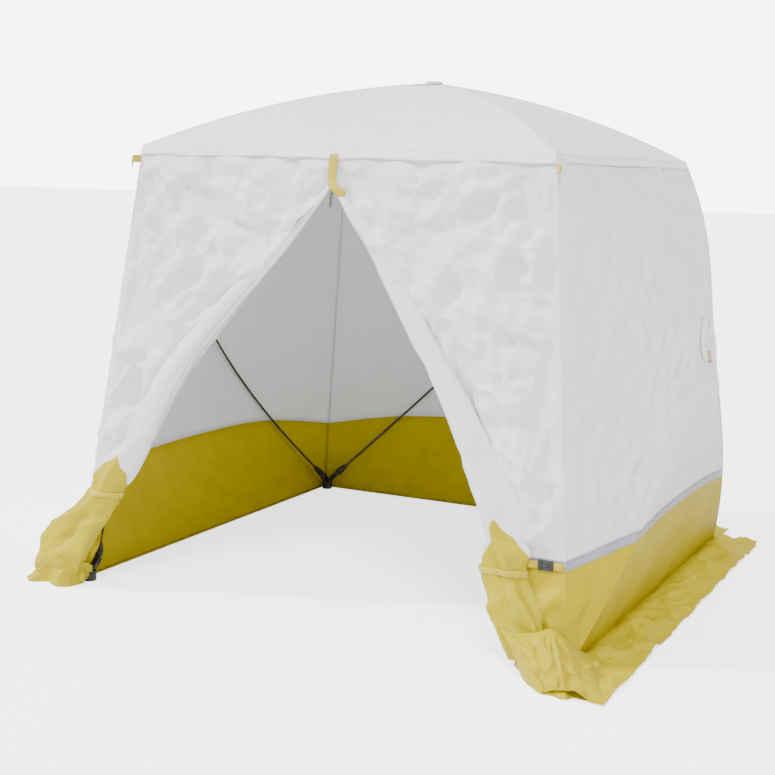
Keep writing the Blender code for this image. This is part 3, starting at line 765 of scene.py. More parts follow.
class Shell:
    """The roof and the three walls that have hubs."""

    HOLE = 0.040  # radius of the opening round a hub
    LEVELS = 46
    STEPS = 56
    SLACK = 0.006  # how far a wall's gore hangs back
    TAPE_HALF = 0.015  # half the seam tape's width
    FOOT_SHARE = 0.6
    BASE_SHARE = 0.45
    # Shares of a piece's rectangle that its cloth fills; nothing in this script reads them. Flat areas
    # are taken from the built cloth, so comparing the two can't test it. Where a piece fills less than
    # this share of its rectangle, the length is cut down to it and isn't a real cut length.
    LEAST_FILL = 0.32
    MOST_FILL = 1.02
    RELAXED = 0.99

    def __init__(self) -> None:
        """Sets out the roof and the three walls."""
        self.roof = roof_panel()
        self.walls = [wall_panel("right", 0), wall_panel("back", pi / 2), wall_panel("left", pi)]

    @staticmethod
    def seam(point: Vector) -> float:
        """Height of the seam between the two colours: the hubs draw its middle up."""
        across = min(min(abs(point.x), abs(point.y)) / TENT.wall_at(0.31), 1.0)
        return 0.303 + 0.070 * (1 - across**2.4)

    def surface(self, panel: Panel, gore: int, creases: Creases, slack: float) -> Surface:
        """A gore's cloth, drawn tight at its ridges and creased between them.

        Args:
            panel: the panel.
            gore: which of its triangles.
            creases: the folds in it.
            slack: how far the cloth hangs back between the ridges.

        Returns:
            The point at (u, v), with v from the edge to the hub's opening.
        """
        a, b = panel.edge(gore)
        line = (b - a).normalized()
        height = ((panel.apex - a) - line * (panel.apex - a).dot(line)).length
        length = (b - a).length

        def place(u: float, v: float) -> Vector:
            """The point at (u, v)."""
            point = a.lerp(b, u)
            s = v * (1 - self.HOLE / (point - panel.apex).length)
            flat_x, flat_y = (u - 0.5) * length * (1 - s), s * height
            side = min(u, 1 - u) * length * (1 - s)
            hold = smooth(0.0, 0.09, side) * smooth(0.0, 0.06, flat_y) * smooth(0.0, 0.10, (1 - v) * height)
            hang = -slack * 4 * u * (1 - u) * 4 * s * (1 - s)
            flat = panel.at(gore, u, s)
            if panel is not self.roof:
                hold *= 0.25 + 0.75 * smooth(0.015, 0.09, abs(flat.z - self.seam(flat)))
            bend = creases.at(flat_x, flat_y) * hold
            return flat + panel.facing(gore, s) * (bend + hang)

        return place

    def gore_mesh(self, panel: Panel, gore: int, creases: Creases, slack: float) -> bmesh.types.BMesh:
        """The mesh of one gore."""
        return grid(self.surface(panel, gore, creases, slack), self.STEPS, self.LEVELS)

    def declare(self, obj: bpy.types.Object, panel: Panel, gore: int, share: float = 1.0) -> None:
        """Does nothing: its body is empty.

        Args:
            obj: the piece; not used.
            panel: its panel; not used.
            gore: which triangle of it; not used.
            share: how much of the gore's height it takes up; not used.
        """

    def build_roof(self) -> None:
        """Four gores sewn at the ridges."""
        for gore, name in enumerate(("front", "right", "back", "left")):
            bm = self.gore_mesh(self.roof, gore, Creases(40 + gore, 0.0022, 0.16), 0.004)
            obj = new_object(f"roof_{name}", bm, Finish.ROOF)
            self.declare(obj, self.roof, gore)
            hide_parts("roof_panel")
            self.roof.blend(obj, gore)
            LOG.info("roof gore %s: %d faces", name, len(obj.data.polygons))
        self.build_ridges(self.roof, Finish.HEM)

    def build_walls(self) -> None:
        """Each wall's gores, split at the seam, with the tape over it."""
        middle = Vector((0, 0, TENT.eaves_height / 2))
        for panel in self.walls:
            for gore in Gore:
                i = gore.value
                near_front = gore is Gore.FRONT and panel.name == "right" or (
                    gore is Gore.BACK and panel.name == "left")
                loose = 0.010 if near_front else 0.0032
                creases = Creases(7 * i + len(panel.name), loose, 0.085 if near_front else 0.14, 9)
                label = f"{panel.name}_{gore.name.lower()}"
                upper = self.gore_mesh(panel, i, creases, self.SLACK)
                if gore is not Gore.TOP:
                    trim(upper, self.seam, True)
                obj = new_object(f"wall_{label}_upper", upper, Finish.WHITE)
                self.declare(obj, panel, i, self.FOOT_SHARE if gore is Gore.FOOT else 1.0)
                if gore is not Gore.FOOT:
                    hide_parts(f"wall_{panel.name}_upper")
                panel.blend(obj, i)
                if gore is Gore.TOP:
                    continue
                base = self.gore_mesh(panel, i, creases, self.SLACK)
                trim(base, self.seam, False)
                obj = new_object(f"wall_{label}_base", base, Finish.YELLOW)
                self.declare(obj, panel, i, self.BASE_SHARE)
                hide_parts(f"wall_{panel.name}_base")
                panel.blend(obj, i)
                band = self.gore_mesh(panel, i, creases, self.SLACK)
                trim(band, lambda point: self.seam(point) + self.TAPE_HALF, False)
                trim(band, lambda point: self.seam(point) - self.TAPE_HALF, True)
                layer = band.loops.layers.uv.verify()
                for face in band.faces:
                    for loop in face.loops:
                        point = loop.vert.co
                        run = point.y if abs(point.x) > abs(point.y) else point.x
                        loop[layer].uv = ((point.z - self.seam(point)) / (2 * self.TAPE_HALF) + 0.5, run)
                lift(band, middle, 0.0026)
                obj = new_object(f"seam_tape_{label}", band, Finish.TAPE)
                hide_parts("seam_tape")
                panel.blend(obj, i)
            LOG.info("wall %s built", panel.name)
            self.build_ridges(panel, Finish.PATCH)

    def build_ridges(self, panel: Panel, finish: Finish) -> None:
        """The sewn sleeve along each ridge, from a corner towards the hub.

        Args:
            panel: the panel.
            finish: the finish of its sleeves.
        """
        for corner in range(4):
            before, after = (corner - 1) % 4, corner

            def place(u: float, v: float, before: int = before, after: int = after) -> Vector:
                """The point at (u, v)."""
                reach = (panel.corners[after] - panel.apex).length
                s = v * (1 - (self.HOLE + 0.004) / reach)
                side = (u - 0.5) * 2
                gore, end = (before, 1.0) if side < 0 else (after, 0.0)
                a, b = panel.edge(gore)
                width = (b - a).length * max(1 - s, 0.05)
                shift = abs(side) * 0.009 / width
                proud = 0.0016 * (1 - side**4) + 0.0004
                foot = panel.at(gore, end - shift if end else shift, s)
                return foot + panel.normal * proud

            bm = grid(place, 8, 60)
            if panel is not self.roof and corner < 2:
                trim(bm, self.seam, True)
                base = grid(place, 8, 60)
                trim(base, self.seam, False)
                low = new_object(f"ridge_{panel.name}_{corner}_base", base, Finish.YELLOW_PATCH)
                panel.blend_ridge(low)
            obj = new_object(f"ridge_{panel.name}_{corner}", bm, finish)
            panel.blend_ridge(obj)

    def build_eaves(self) -> None:
        """The roof's hem, sewn over the top of each wall."""
        drop = 0.030
        for panel in self.walls:
            def place(u: float, v: float, panel: Panel = panel) -> Vector:
                """The point at (u, v)."""
                s = v * drop / ((TENT.eaves_height - TENT.hub_height) * TENT.slant)
                ripple = 0.0008 * noise.noise(Vector((u * 18, v * 2, len(panel.name))))
                wave = 1 + 0.12 * noise.noise(Vector((u * 9, 3, len(panel.name))))
                point = panel.at(Gore.TOP.value, u, s * wave, 0.0022 + ripple + 0.0012 * v)
                return point + Vector((0, 0, 0.001 * (1 - v)))

            obj = new_object(f"eaves_hem_{panel.name}", grid(turned(place), 4, 90), Finish.HEM)
            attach(obj, "root")

        def front(u: float, v: float) -> Vector:
            """The point at (u, v)."""
            x = mix(-TENT.eaves_half, TENT.eaves_half, u)
            wave = 1 + 0.15 * noise.noise(Vector((u * 11, 8, 2)))
            ripple = 0.0025 * noise.noise(Vector((u * 16, v * 2, 5))) * v
            return TENT.on_front(x, TENT.eaves_height + 0.001 - v * drop * wave, 0.004 + 0.004 * v + ripple)

        obj = new_object("eaves_hem_front", grid(turned(front), 5, 110), Finish.HEM)
        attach(obj, "root")
        LOG.info("eaves hems built")

    def build_corners(self) -> None:
        """A bound seam up each corner, outside and inside, in the colour of the cloth beside it."""
        for x, y in ((-1, 1), (1, 1), (1, -1), (-1, -1)):
            for face, out in (("outer", 0.0022), ("inner", -0.0045)):
                for low, high, finish in ((0.012, 0.303, Finish.YELLOW_PATCH), (0.303, 1.498, Finish.PATCH)):
                    def place(u: float, v: float, x: int = x, y: int = y, out: float = out,
                              low: float = low, high: float = high) -> Vector:
                        """The point at (u, v)."""
                        height = mix(low, high, v)
                        reach = TENT.wall_at(height) + out
                        side = (u - 0.5) * 2
                        over = (0.0065 if out > 0 else 0.003) * abs(side)
                        wave = 0.0016 * noise.noise(Vector((height * 14, x, y)))
                        point = Vector((x * (reach - (over if side > 0 else 0)),
                                        y * (reach - (over if side < 0 else 0)), height))
                        return point + Vector((x, y, 0)) * (wave - 0.0012 * (1 - abs(side)) ** 3)

                    label = f"corner_{face}_{'lr'[x > 0]}{'fb'[y > 0]}_{'low' if low < 0.1 else 'high'}"
                    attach(new_object(label, grid(place, 6, 70), finish), "root")


# The door


@dataclass(frozen=True)
class RollSection:
    """A cut through a gathered flap: its place on the front wall and its half sizes.

    reach is the distance from the tent's middle line, and out the distance in front of the wall.
    """

    height: float
    reach: float
    out: float
    wide: float
    deep: float
    turn: float = 0.0  # radians that the section tips to lie on the floor

    def row(self) -> list[float]:
        """The section as numbers to draw a curve through."""
        return [self.height, self.reach, self.out, self.wide, self.deep, self.turn]


@dataclass(frozen=True)
class DoorSide:
    """One half of the door, tied back: what differs between left and right."""

    name: str
    sign: int
    roll: tuple[RollSection, ...]
    colour_from: float  # how far down the roll the colour starts, from 0 to 1
    seam_height: float  # of the tape beside the roll
    foot_line: tuple[tuple[float, float], ...]  # (height, reach) down the hidden edge under the roll
    seed: int


LEFT_DOOR = DoorSide(
    "left", -1,
    (
        RollSection(1.394, 0.008, 0.002, 0.007, 0.004),
        RollSection(1.250, 0.128, 0.006, 0.022, 0.012),
        RollSection(1.117, 0.236, 0.008, 0.032, 0.016),
        RollSection(0.980, 0.358, 0.010, 0.038, 0.019),
        RollSection(0.848, 0.468, 0.010, 0.042, 0.021),
        RollSection(0.700, 0.564, 0.012, 0.046, 0.023),
        RollSection(0.558, 0.643, 0.014, 0.050, 0.026),
        RollSection(0.470, 0.706, 0.018, 0.060, 0.030),
        RollSection(0.390, 0.758, 0.020, 0.066, 0.032),
        RollSection(0.325, 0.790, 0.022, 0.058, 0.030),
        RollSection(0.250, 0.845, 0.030, 0.078, 0.042, 0.15),
        RollSection(0.175, 0.890, 0.038, 0.096, 0.052, 0.3),
        RollSection(0.115, 0.928, 0.042, 0.102, 0.056, 0.45),
        RollSection(0.060, 0.952, 0.044, 0.100, 0.050, 0.6),
        RollSection(0.014, 0.962, 0.042, 0.094, 0.034, 0.7),
    ),
    0.505, 0.34, ((0.0, 0.882), (0.065, 0.858), (0.16, 0.812), (0.25, 0.790)), 21,
)

RIGHT_DOOR = DoorSide(
    "right", 1,
    (
        RollSection(1.394, 0.008, 0.002, 0.007, 0.004),
        RollSection(1.290, 0.088, 0.006, 0.018, 0.011),
        RollSection(1.180, 0.187, 0.008, 0.024, 0.014),
        RollSection(1.060, 0.275, 0.010, 0.030, 0.016),
        RollSection(0.920, 0.364, 0.010, 0.036, 0.019),
        RollSection(0.778, 0.458, 0.012, 0.042, 0.022),
        RollSection(0.660, 0.523, 0.014, 0.046, 0.024),
        RollSection(0.551, 0.578, 0.016, 0.050, 0.027),
        RollSection(0.440, 0.634, 0.022, 0.056, 0.032),
        RollSection(0.340, 0.668, 0.028, 0.056, 0.034),
        RollSection(0.272, 0.680, 0.030, 0.048, 0.032),
        RollSection(0.200, 0.722, 0.034, 0.068, 0.040),
        RollSection(0.140, 0.748, 0.042, 0.082, 0.044, 0.1),
        RollSection(0.080, 0.775, 0.048, 0.078, 0.040, 0.2),
        RollSection(0.014, 0.800, 0.050, 0.060, 0.026, 0.2),
    ),
    0.585, 0.305, ((0.0, 0.800), (0.08, 0.775), (0.14, 0.748), (0.20, 0.722)), 33,
)


class Door:
    """One half of the front wall, with its free edge rolled back and tied."""

    ARC_START = radians(-35)
    ARC_END = radians(250)

    def __init__(self, side: DoorSide) -> None:
        """Chooses the creases of this half."""
        self.side = side
        self.rows = [section.row() for section in side.roll]
        self.creases = Creases(side.seed, 0.0145, 0.17, 14, lean=0.75, spread=2.6)
        self.fine = Creases(side.seed + 5, 0.008, 0.09, 9)

    def roll_middle(self, height: float) -> float:
        """Distance of the roll's middle line from the tent's middle line, at a height."""
        if height >= TENT.zip_top:
            return 0.0
        table = [(section.height, section.reach) for section in self.side.roll
                 if TENT.zip_top - 0.01 > section.height > 0.26]
        return value_at([*table, (TENT.zip_top, 0.0), *self.side.foot_line], height)

    def roll_point(self, angle: float, t: float) -> Vector:
        """A point of the roll.

        Args:
            angle: round the section, from the corner's side over the outer face to the free edge.
            t: from the zip's top at 0 to the floor at 1.

        Returns:
            The point in the frame.
        """
        height, reach, out, wide, deep, turn = along(self.rows, t)
        sign = self.side.sign
        pleats = 0.0
        below = smooth(0.62, 0.80, t)
        pinch = 1 - 0.13 * max(0.0, sin(t * 40 + self.side.seed)) ** 6 * smooth(0.05, 0.2, t) * (1 - below)
        if below:
            pleats = below * (0.13 * zigzag(angle * 0.62 + t * 1.1)
                              + 0.07 * zigzag(angle * 1.15 - t * 1.9 + 0.3))
        crumple = 0.9 * self.creases.at(angle * 0.06 + self.side.seed, t * 0.55)
        size = (1 + pleats) * pinch
        across = Vector((sign, 0, 0))
        upright = Vector((0, TENT.lean, 1)) / TENT.slant
        face = Vector((0, -1, TENT.lean)) / TENT.slant
        face = (face * cos(turn) + upright * sin(turn)).normalized()
        centre = TENT.on_front(sign * reach, height, out)
        swell = crumple * smooth(0.0, 0.12, t) * (0.7 + 0.8 * below)
        shoulder = max(cos(angle), 0.0) * (1 - below)
        point = centre + across * cos(angle) * (wide * size * (1 + 0.45 * shoulder))
        point += face * sin(angle) * (deep * size * (1 - 0.6 * shoulder))
        point += (across * cos(angle) + face * sin(angle)) * swell
        clear = 0.0135 * (1 - smooth(0.032, 0.075, abs(point.z - 0.286)))
        ahead = -(point.y + TENT.wall_at(point.z)) / TENT.slant
        if ahead < clear and clear > 0:
            point += Vector((0, -1, TENT.lean)) / TENT.slant * (clear - ahead)
        point.z = max(point.z, 0.0015)
        return point

    def colour_line(self, angle: float) -> float:
        """Where the colour starts on the roll: a peak in the middle of its outer face."""
        off = abs(angle - radians(80)) / radians(120)
        return self.side.colour_from + 0.115 * min(off, 1.3) + 0.004 * sin(angle * 7)

    def build_roll(self) -> None:
        """The gathered cloth along the free edge, white above and coloured below."""
        def angle_of(u: float) -> float:
            """The angle round the roll at u."""
            return mix(self.ARC_START, self.ARC_END, u)

        def upper(u: float, v: float) -> Vector:
            """The point at (u, v) of the white part."""
            angle = angle_of(u)
            return self.roll_point(angle, v * self.colour_line(angle))

        def lower(u: float, v: float) -> Vector:
            """The point at (u, v) of the coloured part."""
            angle = angle_of(u)
            return self.roll_point(angle, mix(self.colour_line(angle), 1.0, v))

        name = self.side.name
        white = new_object(f"door_{name}_roll", grid(upper, 40, 150), Finish.DOOR)
        coloured = new_object(f"door_{name}_gather", grid(lower, 72, 110), Finish.SKIRT)
        for obj in (white, coloured):
            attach(obj, "root")
        self.declare(white, "gathered")
        self.declare(coloured, "gathered")
        LOG.info("door %s roll built", name)

    @staticmethod
    def declare(obj: bpy.types.Object, held: str, rests_on: Sequence[str] = ()) -> None:
        """Does nothing: its body is empty.

        Args:
            obj: the piece; not used.
            held: how it is held; not used.
            rests_on: the nodes that it lies on; not used.
        """

    def tension(self, across: float, down: float) -> float:
        """Folds that spread from the flap's top corner, where it hangs."""
        distance = hypotenuse(across, down)
        angle = atan2(down, across + 1e-6)
        turn = angle * 3.4 + 0.15 * self.side.seed + 0.25 * noise.noise(Vector((across * 3, down * 3, 7)))
        return 0.011 * zigzag(turn) * smooth(0.03, 0.25, distance) * (1 - smooth(0.35, 0.95, distance))

    def build_flap(self) -> None:
        """The cloth between the roll and the corner, white above the tape."""
        sign, seam = self.side.sign, self.side.seam_height

        def sheet(low: float, high: float) -> Surface:
            """The cloth between two heights."""
            def place(u: float, v: float) -> Vector:
                """The point at (u, v)."""
                height = mix(low, high, v)
                corner = TENT.wall_at(height) + 0.001
                middle = self.roll_middle(height)
                reach = mix(corner, middle, u)
                top = smooth(0.0, 0.10, TENT.eaves_height - height)
                hold = smooth(0.0, 0.05, corner - reach) * top * smooth(0.0, 0.03, reach + 0.01)
                bend = self.creases.at(reach, height) + 0.5 * self.fine.at(reach + 3, height)
                bend += self.tension(corner - reach, TENT.eaves_height - height)
                belly = 0.010 * sin(pi * u) * smooth(0.0, 0.5, TENT.eaves_height - height)
                near = hypotenuse((reach - 0.81) / 1.6, height - 0.285)
                clear = smooth(0.035, 0.11, near)
                out = min(bend * hold + belly, mix(-0.001, 0.05, clear)) * clear
                return TENT.on_front(sign * reach, height, max(out, -0.012) + 0.001)

            return place

        name = self.side.name
        white = new_object(f"door_{name}_flap", grid(sheet(seam, TENT.eaves_height - 0.004), 110, 170),
                           Finish.DOOR)
        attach(white, "root")
        self.declare(white, "gathered", [f"rod_roof_front_{name}"])
        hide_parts(f"door_{name}_upper")
        base = new_object(f"door_{name}_foot", grid(sheet(0.004, seam), 50, 60), Finish.YELLOW)
        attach(base, "root")
        self.declare(base, "gathered")
        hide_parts(f"door_{name}_base")
        band = sheet(seam - 0.014, seam + 0.014)
        front = Vector((0, -1, TENT.lean)) / TENT.slant
        tape = new_object(f"door_{name}_tape", grid(lambda u, v: band(v, u) + front * 0.0016, 4, 50),
                          Finish.TAPE)
        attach(tape, "root")
        LOG.info("door %s flap built", name)

    def build_strap(self) -> None:
        """The webbing round the roll, tied to the corner."""
        t = 0.645 if self.side.sign < 0 else 0.72
        points, across = [], []
        for k in range(29):
            angle = mix(radians(-40), radians(235), k / 28)
            here = self.roll_point(angle, t)
            ahead = self.roll_point(angle, t + 0.012)
            centre = Vector(TENT.on_front(self.side.sign * along(self.rows, t)[1], here.z, 0.02))
            outward = here - centre
            outward.z = 0
            points.append(here + outward.normalized() * 0.004)
            across.append((ahead - here).normalized())
        obj = new_object(f"tie_strap_{self.side.name}", ribbon(points, across, 0.022, 0.0016), Finish.STRAP)
        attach(obj, "root")

    def build(self) -> None:
        """All of this half of the door that stays still."""
        self.build_flap()
        self.build_roll()
        self.build_strap()


class ZipFold:
    """The rest of a flap's cloth, folded behind it in pleats, with the zip tape on its edge.
    """

    BAND = 0.055
    PLEATS = 7

    def __init__(self, side: DoorSide) -> None:
        """Works out the directions along and across the tape."""
        self.side = side
        self.hinge = TENT.on_front(0, TENT.zip_top)
        up = Vector((0, TENT.lean, 1)) / TENT.slant
        across = Vector((side.sign, 0, 0))
        self.down = (across * sin(TENT.tape_angle) - up * cos(TENT.tape_angle)).normalized()
        self.inward = Vector((0, 1, -TENT.lean)) / TENT.slant
        self.beyond = self.down.cross(self.inward).normalized()
        if self.beyond.x * side.sign < 0:
            self.beyond = -self.beyond

    def at(self, distance: float, beyond: float, depth: float) -> Vector:
        """A point down the tape, beyond it towards the corner, and behind the wall."""
        return self.hinge + self.down * distance + self.beyond * beyond + self.inward * depth

    def build_cloth(self) -> None:
        """The pleated cloth between the still flap and the tape."""
        creases = Creases(self.side.seed + 9, 0.004, 0.07, 6)
        end = TENT.zip_length - 0.004

        def cloth(u: float, distance: float) -> Vector:
            """The point at u across and a distance down the tape."""
            width = self.BAND * smooth(0.0, 0.25, distance) + 0.004
            depth = 0.010 + 0.5 * 0.030 * smooth(0.0, 0.5, distance) * (1 - cos(2 * pi * self.PLEATS * u))
            depth += creases.at(u * 0.8, distance) * smooth(0.0, 0.3, distance)
            point = self.at(distance, 0.012 + width * (1 - u), max(depth, 0.0062))
            over = abs(point.x) - TENT.wall_at(point.z) + 0.010
            return point if over < 0 else self.at(distance, 0.012 + width * (1 - u) - 1.3 * over,
                                                  max(depth, 0.0062))

        def seam(u: float) -> float:
            """Distance down to the change of colour, level with the walls' seam when the door is shut."""
            share = smooth(0.0, 1.0, u)
            drop = (TENT.zip_top - 0.31) * TENT.slant
            return min(drop / cos((1 - share) * TENT.tape_angle), end - 0.006)

        start = self.at(0.7, 0.012 + self.BAND, 0)
        pieces = (
            ("fold", Finish.DOOR, grid(lambda u, v: cloth(u, mix(0.05, seam(u), v)), 70, 80)),
            ("fold_base", Finish.SKIRT, grid(lambda u, v: cloth(u, mix(seam(u), end, v)), 70, 20)),
        )
        for label, finish, mesh in pieces:
            obj = new_object(f"door_{self.side.name}_{label}", mesh, finish)
            self.at(0.7, 0.014, 0)
            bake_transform(obj)

    def build_tape(self) -> None:
        """The woven tape with its row of teeth."""
        width, thick, start = 0.016, 0.0016, 0.034
        steps = 60
        points = [self.at(mix(start, TENT.zip_length, k / steps), 0.009, 0.0036) for k in range(steps + 1)]
        parts = [ribbon(points, [self.beyond] * (steps + 1), width - 0.002, thick)]
        pitch = 0.0032
        count = int((TENT.zip_length - start) / pitch)
        for k in range(count):
            tooth = bevelled_box((0.0034, 0.0018, 0.0028), (0, 0, 0), 0.0004, 1)
            frame_here = Matrix((self.beyond, self.down, self.inward)).transposed().to_4x4()
            place = Matrix.Translation(self.at(start + 0.002 + pitch * k, 0.0022, 0.0033))
            bmesh.ops.transform(tooth, matrix=place @ frame_here, verts=tooth.verts)
            parts.append(tooth)
        obj = new_object(f"zip_side_{self.side.name}", join(parts), Finish.ZIP)
        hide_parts(f"zip_tape_{self.side.name}")
        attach(obj, f"zip_tape_{self.side.name}")
        LOG.info("zip tape %s: %d teeth", self.side.name, count)

    def build(self) -> None:
        """The cloth and the tape."""
        self.build_cloth()
        self.build_tape()


class ZipHead:
    """The slider at the zip's top and the strap sewn over it."""

    def build_slider(self) -> None:
        """A cast slider with a bridge and a hanging puller."""
        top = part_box("zip_slider")[1].z
        upright = Vector((0, TENT.lean, 1)) / TENT.slant
        inward = Vector((0, 1, -TENT.lean)) / TENT.slant
        rows = Matrix((Vector((1, 0, 0)), inward, upright)).transposed().to_4x4()
        here = Matrix.Translation(TENT.on_front(0, top - 0.016, 0.0020)) @ rows
        parts = [
            bevelled_box((0.011, 0.0062, 0.028), (0, 0, 0), 0.0018),
            bevelled_box((0.0045, 0.004, 0.016), (0, -0.0046, 0.001), 0.0012),
            bevelled_box((0.0078, 0.0022, 0.044), (0, -0.0058, -0.034), 0.0009),
            bevelled_box((0.0092, 0.0030, 0.016), (0, -0.0058, -0.046), 0.0012),
        ]
        body = join(parts)
        bmesh.ops.transform(body, matrix=here, verts=body.verts)
        obj = new_object("zip_slider_cast", body, Finish.SLIDER)
        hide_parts("zip_slider")
        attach(obj, "zip_slider")

    def build_strap(self) -> None:
        """Webbing down from the hem, with a loose tail that curls to the right."""
        rows = [
            (0.000, 1.494, 0.0075), (0.000, 1.472, 0.0095), (-0.001, 1.450, 0.0110), (0.000, 1.428, 0.0125),
            (0.004, 1.408, 0.0150), (0.012, 1.392, 0.0190), (0.024, 1.380, 0.0200), (0.038, 1.371, 0.0150),
            (0.050, 1.366, 0.0090),
        ]
        points, across = [], []
        for k in range(41):
            x, height, out = along(rows, k / 40)
            points.append(TENT.on_front(x, height, out))
            lean = smooth(0.45, 0.95, k / 40)
            across.append(Vector((1 - 0.35 * lean, -0.25 * lean, 0.75 * lean)).normalized())
        obj = new_object("zip_strap", ribbon(points, across, 0.030, 0.0018), Finish.STRAP)
        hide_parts("zip_top_strap")
        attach(obj, "root")
        stitches = []
        for row in (1.487, 1.478):
            for k in range(9):
                x = mix(-0.011, 0.011, k / 8)
                place = TENT.on_front(x, row, 0.0104 if row < 1.48 else 0.0096)
                stitches.append(bevelled_box((0.0019, 0.0008, 0.0007), place, 0.0002, 1))
        obj = new_object("zip_strap_stitches", join(stitches), Finish.THREAD)
        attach(obj, "root")

    def build(self) -> None:
        """The slider and the strap."""
        self.build_slider()
        self.build_strap()
        LOG.info("zip head built")


# The ground


class Ground:
    """The skirts on the ground and the cloth gathered over the front feet."""

    def build_skirts(self) -> None:
        """Crumpled flaps that lie outside the three walls."""
        for name, turn in (("right", 0.0), ("back", pi / 2), ("left", pi)):
            spin = Matrix.Rotation(turn, 3, "Z")
            creases = Creases(60 + len(name), 0.013, 0.15, 9, lean=0.5, spread=2.6)
            fine = Creases(70 + len(name), 0.004, 0.07, 7)
            first = -1.13 if name == "right" else -0.93
            last = 0.93

            def place(u: float, v: float, spin: Matrix = spin, creases: Creases = creases,
                      fine: Creases = fine, first: float = first) -> Vector:
                """The point at (u, v)."""
                y = mix(first, last, u)
                edge = 0.012 * noise.noise(Vector((y * 5, 4, turn)))
                edge += 0.006 * noise.noise(Vector((y * 17, 9, turn)))
                x = 0.898 + (TENT.skirt_width - 0.014 + edge) * v
                bend = creases.at(y, x) + fine.at(y, x)
                rise = (0.012 + bend) * smooth(0.0, 0.3, v) * (1 - 0.5 * v * v)
                tuck = 0.006 * (1 - smooth(0.0, 0.3, v))
                return spin @ Vector((x, y, 0.0022 + tuck + max(rise, 0.0008 + 0.08 * (rise + 0.02))))

            obj = new_object(f"ground_skirt_{name}", grid(place, 260, 40), Finish.SKIRT)
            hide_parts(f"skirt_{name}")
            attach(obj, "root")
            LOG.info("skirt %s built", name)

    def build_apron(self, name: str, top: Sequence[Sequence[float]], rim: Sequence[Sequence[float]],
                    seed: int) -> None:
        """A pouch of gathered cloth from the flap's hem, over a front foot, to a scalloped rim.

        Args:
            name: the side.
            top: (x, y, z) along its upper edge, from the doorway to the wall.
            rim: (x, y, z) along its lower edge, the same way.
            seed: of its creases.
        """
        creases = Creases(seed, 0.010, 0.09, 9)

        def place(u: float, v: float) -> Vector:
            """The point at (u, v)."""
            high, low = Vector(along(top, u)), Vector(along(rim, u))
            point = high.lerp(low, v)
            around = Vector((low.x - high.x, low.y - high.y, 0))
            around = around.normalized() if around.length > 0.02 else Vector((0, -1, 0))
            hold = smooth(0.0, 0.3, v)
            folds = 0.010 * zigzag(u * 5.3 + seed * 0.37 + 0.15 * v)
            folds += 0.006 * zigzag(u * 9.1 - seed * 0.21 - 0.2 * v)
            swell = 0.030 * sin(pi * v) ** 0.8 * smooth(0.0, 0.15, high.z)
            step = swell + hold * (1 - 0.5 * v) * (folds + creases.at(u * 0.7, v * 0.28))
            point += (around * 0.8 + Vector((0, 0, 0.6 * (1 - v * v)))) * step
            point += around * 0.014 * v**3 * abs(sin(u * 17 + seed))
            point.z = max(point.z, 0.0016)
            return point

        obj = new_object(f"foot_cloth_{name}", grid(place, 130, 54), Finish.SKIRT)
        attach(obj, "root")

    def build(self) -> None:
        """Everything on the ground."""
        self.build_skirts()
        self.build_apron(
            "right",
            [(0.652, -0.900, 0.150), (0.668, -0.945, 0.130), (0.715, -0.975, 0.118), (0.770, -0.978, 0.116),
             (0.820, -0.962, 0.122), (0.853, -0.935, 0.130), (0.885, -0.905, 0.105), (0.912, -0.850, 0.055),
             (0.925, -0.780, 0.022), (0.930, -0.700, 0.010)],
            [(0.745, -0.945, 0.003), (0.800, -1.030, 0.002), (0.850, -1.085, 0.002), (0.895, -1.122, 0.002),
             (0.935, -1.118, 0.002), (0.970, -1.138, 0.002), (0.985, -1.100, 0.004), (1.058, -1.104, 0.003),
             (1.058, -0.960, 0.003), (1.050, -0.820, 0.003)],
            3)
        self.build_apron(
            "left",
            [(-0.838, -0.893, 0.060), (-0.850, -0.932, 0.084), (-0.885, -0.955, 0.100),
             (-0.930, -0.950, 0.105), (-0.975, -0.920, 0.085), (-0.985, -0.870, 0.060),
             (-0.960, -0.800, 0.030), (-0.935, -0.720, 0.012)],
            [(-0.862, -0.905, 0.003), (-0.866, -0.960, 0.002), (-0.900, -0.990, 0.002),
             (-0.965, -0.965, 0.002), (-1.025, -0.985, 0.002), (-1.072, -0.940, 0.002),
             (-1.080, -0.860, 0.003), (-1.060, -0.740, 0.003)],
            8)
        LOG.info("ground cloth built")


# The frame


